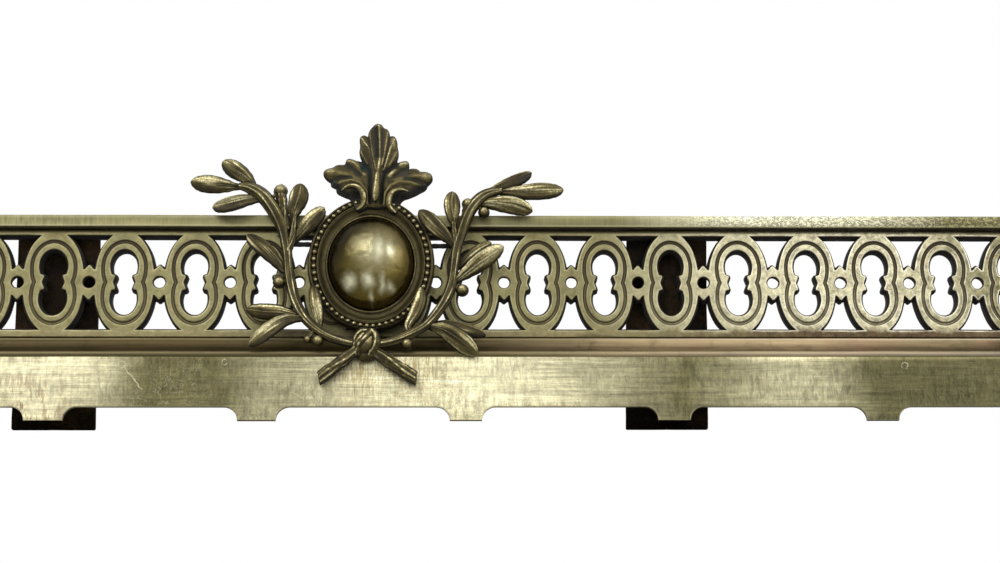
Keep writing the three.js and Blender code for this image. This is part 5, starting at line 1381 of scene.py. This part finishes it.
BAR = [(4.7, 66.5, -18.6), (4.2, 62, -20.2), (3.6, 55, -21.2), (3.1, 48, -21.4), (2.8, 42, -20.6)]


def from_line(points, line):
    """Distances of an array of flat points to a line of corners."""
    least = np.full(len(points), 1e9)
    for a, b in zip(line, line[1:]):
        a, b = np.array(a), np.array(b)
        share = np.clip((points - a) @ (b - a) / ((b - a) @ (b - a)), 0, 1)
        least = np.minimum(least, np.linalg.norm(points - a - share[:, None] * (b - a), axis=1))
    return least


CREST_CONTRAST = 1.35               # how strongly ridges and valleys show in tone


def crest_relief(flat, inside):
    """Height over the crest's rim, edge (rub and painted highlight) and dirt (dark patina and painted shade)
    at flat points; inside is how far in from the outline.
    """
    lift = 1.7 * (1 - np.exp(-(inside / 1.1) ** 2)) + 2.6 / (1 + np.exp((flat[:, 1] - 56) / 3.5))
    edge = 0.34 * np.exp(-((inside - 0.9) / 0.5) ** 2)
    dirt_and_shade = 0.9 * np.exp(-(inside / 0.55) ** 2)
    for line, height, width, shine in RIDGE_LINES:
        near = np.exp(-(from_line(flat, line) / width) ** 2)
        lift += height * near
        edge = np.maximum(edge, min(1, shine * CREST_CONTRAST) * near ** 1.5)
    for line, height, width, soil_and_shade in VALLEYS:
        near = np.exp(-(from_line(flat, line) / width) ** 2)
        lift -= height * near
        dirt_and_shade = np.maximum(dirt_and_shade, min(1, soil_and_shade * CREST_CONTRAST) * near)
        edge *= 1 - 0.8 * near
    for (x, z), (w, h), height, shine, soil_and_shade in BLOTS:
        near = np.exp(-(((flat[:, 0] - x) / w) ** 2 + ((flat[:, 1] - z) / h) ** 2) ** 1.5)
        lift += height * near
        edge = np.maximum(edge * (1 - soil_and_shade * near), shine * near)
        dirt_and_shade = np.maximum(dirt_and_shade, soil_and_shade * near)
    return lift, edge, dirt_and_shade


def closed_curve(points, count):
    line = smooth_line([(x, z, 0.0) for x, z in points + points[:1]], count)
    return [(p.x, p.y) for p in line[:-1]]


RELIEF_STEP = 0.7                   # between the points of the crest's face
RELIEF_CORNER, RELIEF_SIZE = (-37, 33), (84, 70)
CREST_RIM = -14.6                   # depth of the face at its outline


def crest_sheet(shell):
    """The crest's face as a fine relief, with its edge wall and its flat back."""
    outline = anticlockwise(closed_curve(CREST_OUTLINE, 420))
    flat = [Vector(p) for p in outline]
    (left, low), (columns, rows) = RELIEF_CORNER, (round(size / RELIEF_STEP) for size in RELIEF_SIZE)
    grid = np.array([(left + (i + 0.5 * (j % 2)) * RELIEF_STEP, low + j * RELIEF_STEP)
                     for i in range(columns) for j in range(rows)])
    edge_line = outline + outline[:1]
    clear = from_line(grid, edge_line) > 0.45
    grid = [Vector(p) for p, ok in zip(grid, clear) if ok and inside_outline(p, outline)]
    corners = [(i, (i + 1) % len(flat)) for i in range(len(flat))]
    made = delaunay_2d_cdt(flat + grid, corners, [], 1, 1e-4)
    points = np.array([tuple(p) for p in made[0]])
    lift, edge, dirt_and_shade = crest_relief(points, from_line(points, edge_line))
    first = len(shell.points)
    for (x, z), h, e, d in zip(points, lift, edge, dirt_and_shade):
        shell.loop([drawn(x, z, CREST_RIM - h)], float(e), float(d))
    shell.faces += [tuple(first + i for i in face) for face in made[2]]
    rim = [first + i for i in range(len(outline))]
    loops = [rim]
    for widen, depth in ((0.1, -13.4), (0.1, -11.0), (-0.5, -10.2)):
        ring = grown(outline, widen)
        loops.append(shell.loop([drawn(x, z, depth) for x, z in ring], 0, 1.0))
    shell.bands(loops)
    shell.fill(loops[-1])


def inside_outline(p, outline):
    odd = False
    for (x0, z0), (x1, z1) in zip(outline, outline[1:] + outline[:1]):
        if (z0 > p[1]) != (z1 > p[1]) and p[0] < x0 + (p[1] - z0) * (x1 - x0) / (z1 - z0):
            odd = not odd
    return odd


SCROLL_STEPS, SCROLL_SIDES = 44, 18
BAR_STEPS, BAR_SIDES = 24, 20


def scroll_band(shell, line):
    """The rolled lip of a big lobe: a flat band standing forward, with a painted highlight along its front and
    painted shade behind.
    """
    path = smooth_line(line, SCROLL_STEPS)
    rings = []
    for k, p in enumerate(path):
        t = k / SCROLL_STEPS
        along = (path[min(k + 1, SCROLL_STEPS)] - path[max(k - 1, 0)]).normalized()
        side = along.cross(FRONTWARDS).normalized()
        out = side.cross(along)
        half = 2.3 * between([(0, 0.3), (0.2, 0.75), (0.6, 1.1), (0.9, 0.8), (1, 0.4)], t)
        ring = []
        for i in range(SCROLL_SIDES):
            a = 2 * math.pi * i / SCROLL_SIDES
            reach = out * math.cos(a) * 1.6 + side * math.sin(a) * half
            lit = max(0, math.cos(a))
            shine = hump(math.degrees(a if a < math.pi else a - 2 * math.pi), -14, 26)
            ring.append((p + reach, max(shine * (0.85 + 0.15 * math.sin(23 * t)), 0.3 * lit),
                         0.9 * max(0, 0.35 - math.cos(a))))
        rings.append(shell.line(ring))
    shell.bands(rings)
    shell.fan(rings[0], path[0], 0.5, 0)
    shell.fan(rings[-1], path[-1], 0.5, 0)


def crest_bar(shell):
    """The stout rib in the middle of the crest's foot, with a painted highlight down its front and painted
    shade behind.
    """
    path = smooth_line([drawn(*p) for p in BAR], BAR_STEPS)
    rings = []
    for k, p in enumerate(path):
        r = 2.9 * between([(0, 0.2), (0.25, 0.8), (0.7, 1.1), (0.93, 0.95), (1, 0.5)], k / BAR_STEPS)
        ring = []
        for i in range(BAR_SIDES):
            a = 2 * math.pi * i / BAR_SIDES
            shine = 0.5 * max(0, math.cos(a)) ** 1.5 + 0.4 * hump(math.sin(a), -0.25, 0.18)
            ring.append((p + Vector((r * math.sin(a), -r * math.cos(a), 0)), shine,
                         max(0, 0.4 - math.cos(a)) * 0.9))
        rings.append(shell.line(ring))
    shell.bands(rings)
    shell.fan(rings[0], path[0], 0.4, 0)
    shell.fan(rings[-1], path[-1], 0.2, 0.4)


shell = Shell()
crest_sheet(shell)
for rim in RIMS:
    scroll_band(shell, [drawn(*p) for p in rim])
crest_bar(shell)
dress(shell.piece("acanthus_crest_cast", bronze, angle=60), "ornament_bronze", "acanthus_crest")


# ------------------------------------------------------------------ ribbon knot and cut stem ends
def knot_piece():
    shell = Shell()
    middle = drawn(-3.0, -57.6, -26.5)
    ball(shell, middle, 9.6, 7.4, 9.4, 0.5, 18, 32, 0.05)
    ball(shell, drawn(-2.0, -66.3, -24.2), 7.4, 4.6, 4.6, 0.05, 12, 24, 0.1)
    strands = [
        ([(-10.6, -61.0, -27.5), (-9.6, -55.5, -30.5), (-6.6, -51.2, -30.8), (-2.4, -50.2, -29)], 2.6),
        ([(0.6, -66.2, -27), (4.0, -61.6, -30.2), (4.4, -56.0, -30.8), (1.4, -50.6, -29)], 3.4),
        ([(-9.0, -65.0, -27), (-6.6, -60.0, -30.8), (-2.6, -55.2, -31.6), (0.8, -50.6, -29.4)], 3.3)]
    for line, r in strands:
        stem(shell, [(x + 0.6, z, d, r) for x, z, d in line], 24, ridges=[(-6, 0.95), (34, 0.3)], broad=16)
    stem(shell, [(-4, -60, -26.5, 3.6), (-15, -67.5, -26.5, 4.7), (-34.6, -82.2, -26.5, 5.3)], 34, cut=-0.55,
         ridges=CUT_RIDGES)
    stem(shell, [(-2, -60, -26.5, 3.7), (9, -67.5, -26.5, 4.8), (33.1, -82.4, -26.5, 5.4)], 34, cut=0.55,
         ridges=CUT_RIDGES)
    return dress(shell.piece("ribbon_knot_cast", bronze, angle=50), "ornament_bronze", "ribbon_knot")


knot_piece()


# ------------------------------------------------------------------ clamp plate, studs and nuts behind
def turned_piece(name, x, z, rings, sides, material, slot, node, turn=0.0):
    """rings are (radius, depth); a six-sided one has flats, and a round one any number of sides."""
    shell = Shell()
    loops = []
    for r, d in rings:
        angles = [2 * math.pi * (i + turn) / sides for i in range(sides)]
        loops.append(shell.loop([front_place(x + r * math.cos(a), d, z + r * math.sin(a)) for a in angles]))
    shell.bands(loops)
    shell.fan(loops[0], front_place(x, rings[0][1], z))
    shell.fan(loops[-1], front_place(x, rings[-1][1], z))
    return dress(shell.piece(name, material, angle=30), slot, node)


CLAMP_FRONT, CLAMP_BACK, CLAMP_RISE = 10.3, 13.3, 6.2
CLAMP_HALF_W, CLAMP_HALF_H, CLAMP_ROUND = 38, 9, 3
shell = Shell()
levels = [(-0.5, CLAMP_FRONT), (0, CLAMP_FRONT + 0.5), (0, CLAMP_BACK - 0.5), (-0.5, CLAMP_BACK)]
corner = [(CLAMP_HALF_W + CLAMP_ROUND * (math.cos(math.radians(a)) - 1),
           CLAMP_HALF_H + CLAMP_ROUND * (math.sin(math.radians(a)) - 1)) for a in range(0, 91, 18)]
outline = [(x, z) for x, z in corner] + [(-x, z) for x, z in corner[::-1]]
outline += [(-x, -z) for x, z in corner] + [(x, -z) for x, z in corner[::-1]]
loops = []
for widen, depth in levels:
    ring = [front_place(x, depth, OPENING_MID + CLAMP_RISE + z)
            for x, z in grown(anticlockwise(outline), widen)]
    loops.append(shell.loop([wobble(p, 11, 0.15) for p in ring]))
shell.capped(loops)
dress(shell.piece("clamp_plate_bar", strap_iron), "strap_iron", "clamp_plate")
for i, (x, z) in enumerate(((-25, 2 * CLAMP_RISE), (0, 0), (25, 2 * CLAMP_RISE))):
    thread = [(2.2 if k % 2 else 1.95, 13.4 + k * 0.25) for k in range(21)]
    turned_piece(f"stud_{i + 1}_threaded", x, OPENING_MID + z,
                 [(2.1, -9.0), (2.1, 13.2)] + thread + [(1.5, 18.8)], 16,
                 stud_brass, "stud_brass", f"stud_{i + 1}")
    nut = [(4.4, 13.6), (5.1, 14.0), (5.2, 16.6), (4.9, 17.0), (4.3, 17.1)]
    turned_piece(f"nut_{i + 1}_hexagon", x, OPENING_MID + z, nut, 6, strap_iron, "strap_iron", f"nut_{i + 1}",
                 turn=0.2 * i)


# ------------------------------------------------------------------ floor, world, lamps and camera
def floor_piece():
    """A pale floor, clear to the camera from below, because the front is looked at from under its level."""
    n = Nodes("studio_floor")
    n.finish(rgb(236, 236, 234), 0.0, 0.85)
    path = n.tree.nodes.new("ShaderNodeLightPath")
    facing = n.tree.nodes.new("ShaderNodeNewGeometry")
    clear = n.tree.nodes.new("ShaderNodeBsdfTransparent")
    choose = n.tree.nodes.new("ShaderNodeMixShader")
    seen = n.times(facing.outputs["Backfacing"], path.outputs["Is Camera Ray"])
    n.join(seen, choose.inputs[0])
    n.join(n.shader.outputs[0], choose.inputs[1])
    n.join(clear.outputs[0], choose.inputs[2])
    n.join(choose.outputs[0], n.out.inputs[0])
    mesh = bpy.data.meshes.new("floor")
    mesh.from_pydata([(-6, -6, 0), (6, -6, 0), (6, 6, 0), (-6, 6, 0)], [], [(0, 1, 2, 3)])
    mesh.materials.append(n.mat)
    obj = bpy.data.objects.new("floor", mesh)
    bpy.context.collection.objects.link(obj)


AMBIENT = 0.35                      # strength of the light from all round


def studio_world():
    """Soft light from all round; the camera, and what metal mirrors, see plain white."""
    world = bpy.data.worlds.new("studio")
    bpy.context.scene.world = world
    world.use_nodes = True
    tree = world.node_tree
    tree.nodes.clear()
    out = tree.nodes.new("ShaderNodeOutputWorld")
    path = tree.nodes.new("ShaderNodeLightPath")
    seen = None
    for key in ("Is Camera Ray", "Is Glossy Ray", "Is Transmission Ray"):
        if seen is None:
            seen = path.outputs[key]
            continue
        join = tree.nodes.new("ShaderNodeMath")
        join.operation = "MAXIMUM"
        tree.links.new(seen, join.inputs[0])
        tree.links.new(path.outputs[key], join.inputs[1])
        seen = join.outputs[0]
    soft = tree.nodes.new("ShaderNodeBackground")
    soft.inputs["Color"].default_value = (1, 1, 1, 1)
    soft.inputs["Strength"].default_value = AMBIENT
    white = tree.nodes.new("ShaderNodeBackground")
    white.inputs["Color"].default_value = (1, 1, 1, 1)
    white.inputs["Strength"].default_value = 1.0
    mix = tree.nodes.new("ShaderNodeMixShader")
    tree.links.new(seen, mix.inputs[0])
    tree.links.new(soft.outputs[0], mix.inputs[1])
    tree.links.new(white.outputs[0], mix.inputs[2])
    tree.links.new(mix.outputs[0], out.inputs[0])


def lamp(name, place, aim, size, power):
    light = bpy.data.lights.new(name, "AREA")
    light.shape = "RECTANGLE"
    light.size, light.size_y = size
    light.energy = power
    obj = bpy.data.objects.new(name, light)
    obj.location = place
    obj.rotation_euler = (Vector(aim) - Vector(place)).to_track_quat("-Z", "Y").to_euler()
    bpy.context.collection.objects.link(obj)


def camera():
    """The view of the front: looking up by 15 degrees from under the floor's level, right of the middle."""
    distance = 1.4
    pitch, yaw, roll = math.radians(15), math.radians(1.405), math.radians(-0.295)
    aim = Vector((0.09755, DATUM_Y * 0.001, 0.1072))
    way = Vector((math.sin(yaw) * math.cos(pitch), math.cos(yaw) * math.cos(pitch), math.sin(pitch)))
    across = way.cross(Vector((0, 0, 1))).normalized()
    up = across.cross(way)
    tilted = across * math.cos(roll) + up * math.sin(roll)
    upright = up * math.cos(roll) - across * math.sin(roll)
    cam = bpy.data.cameras.new("camera")
    cam.lens, cam.sensor_width, cam.sensor_fit = 68.68, 36.0, "HORIZONTAL"
    cam.clip_start, cam.clip_end = 0.01, 60
    obj = bpy.data.objects.new("camera", cam)
    turn = Matrix((tilted, upright, -way)).transposed()
    obj.matrix_world = Matrix.Translation(aim - way * distance) @ turn.to_4x4()
    bpy.context.collection.objects.link(obj)
    bpy.context.scene.camera = obj


floor_piece()
studio_world()
lamp("key", (-0.9, -1.9, 1.5), (0, 0, 0.1), (1.6, 1.0), 17)
lamp("fill", (1.6, -1.6, 0.9), (0.1, 0, 0.1), (1.4, 1.2), 9)
lamp("rim", (0.2, 1.7, 1.4), (0, 0, 0.1), (1.8, 0.8), 10)
camera()
bpy.context.scene.view_settings.view_transform = "Standard"
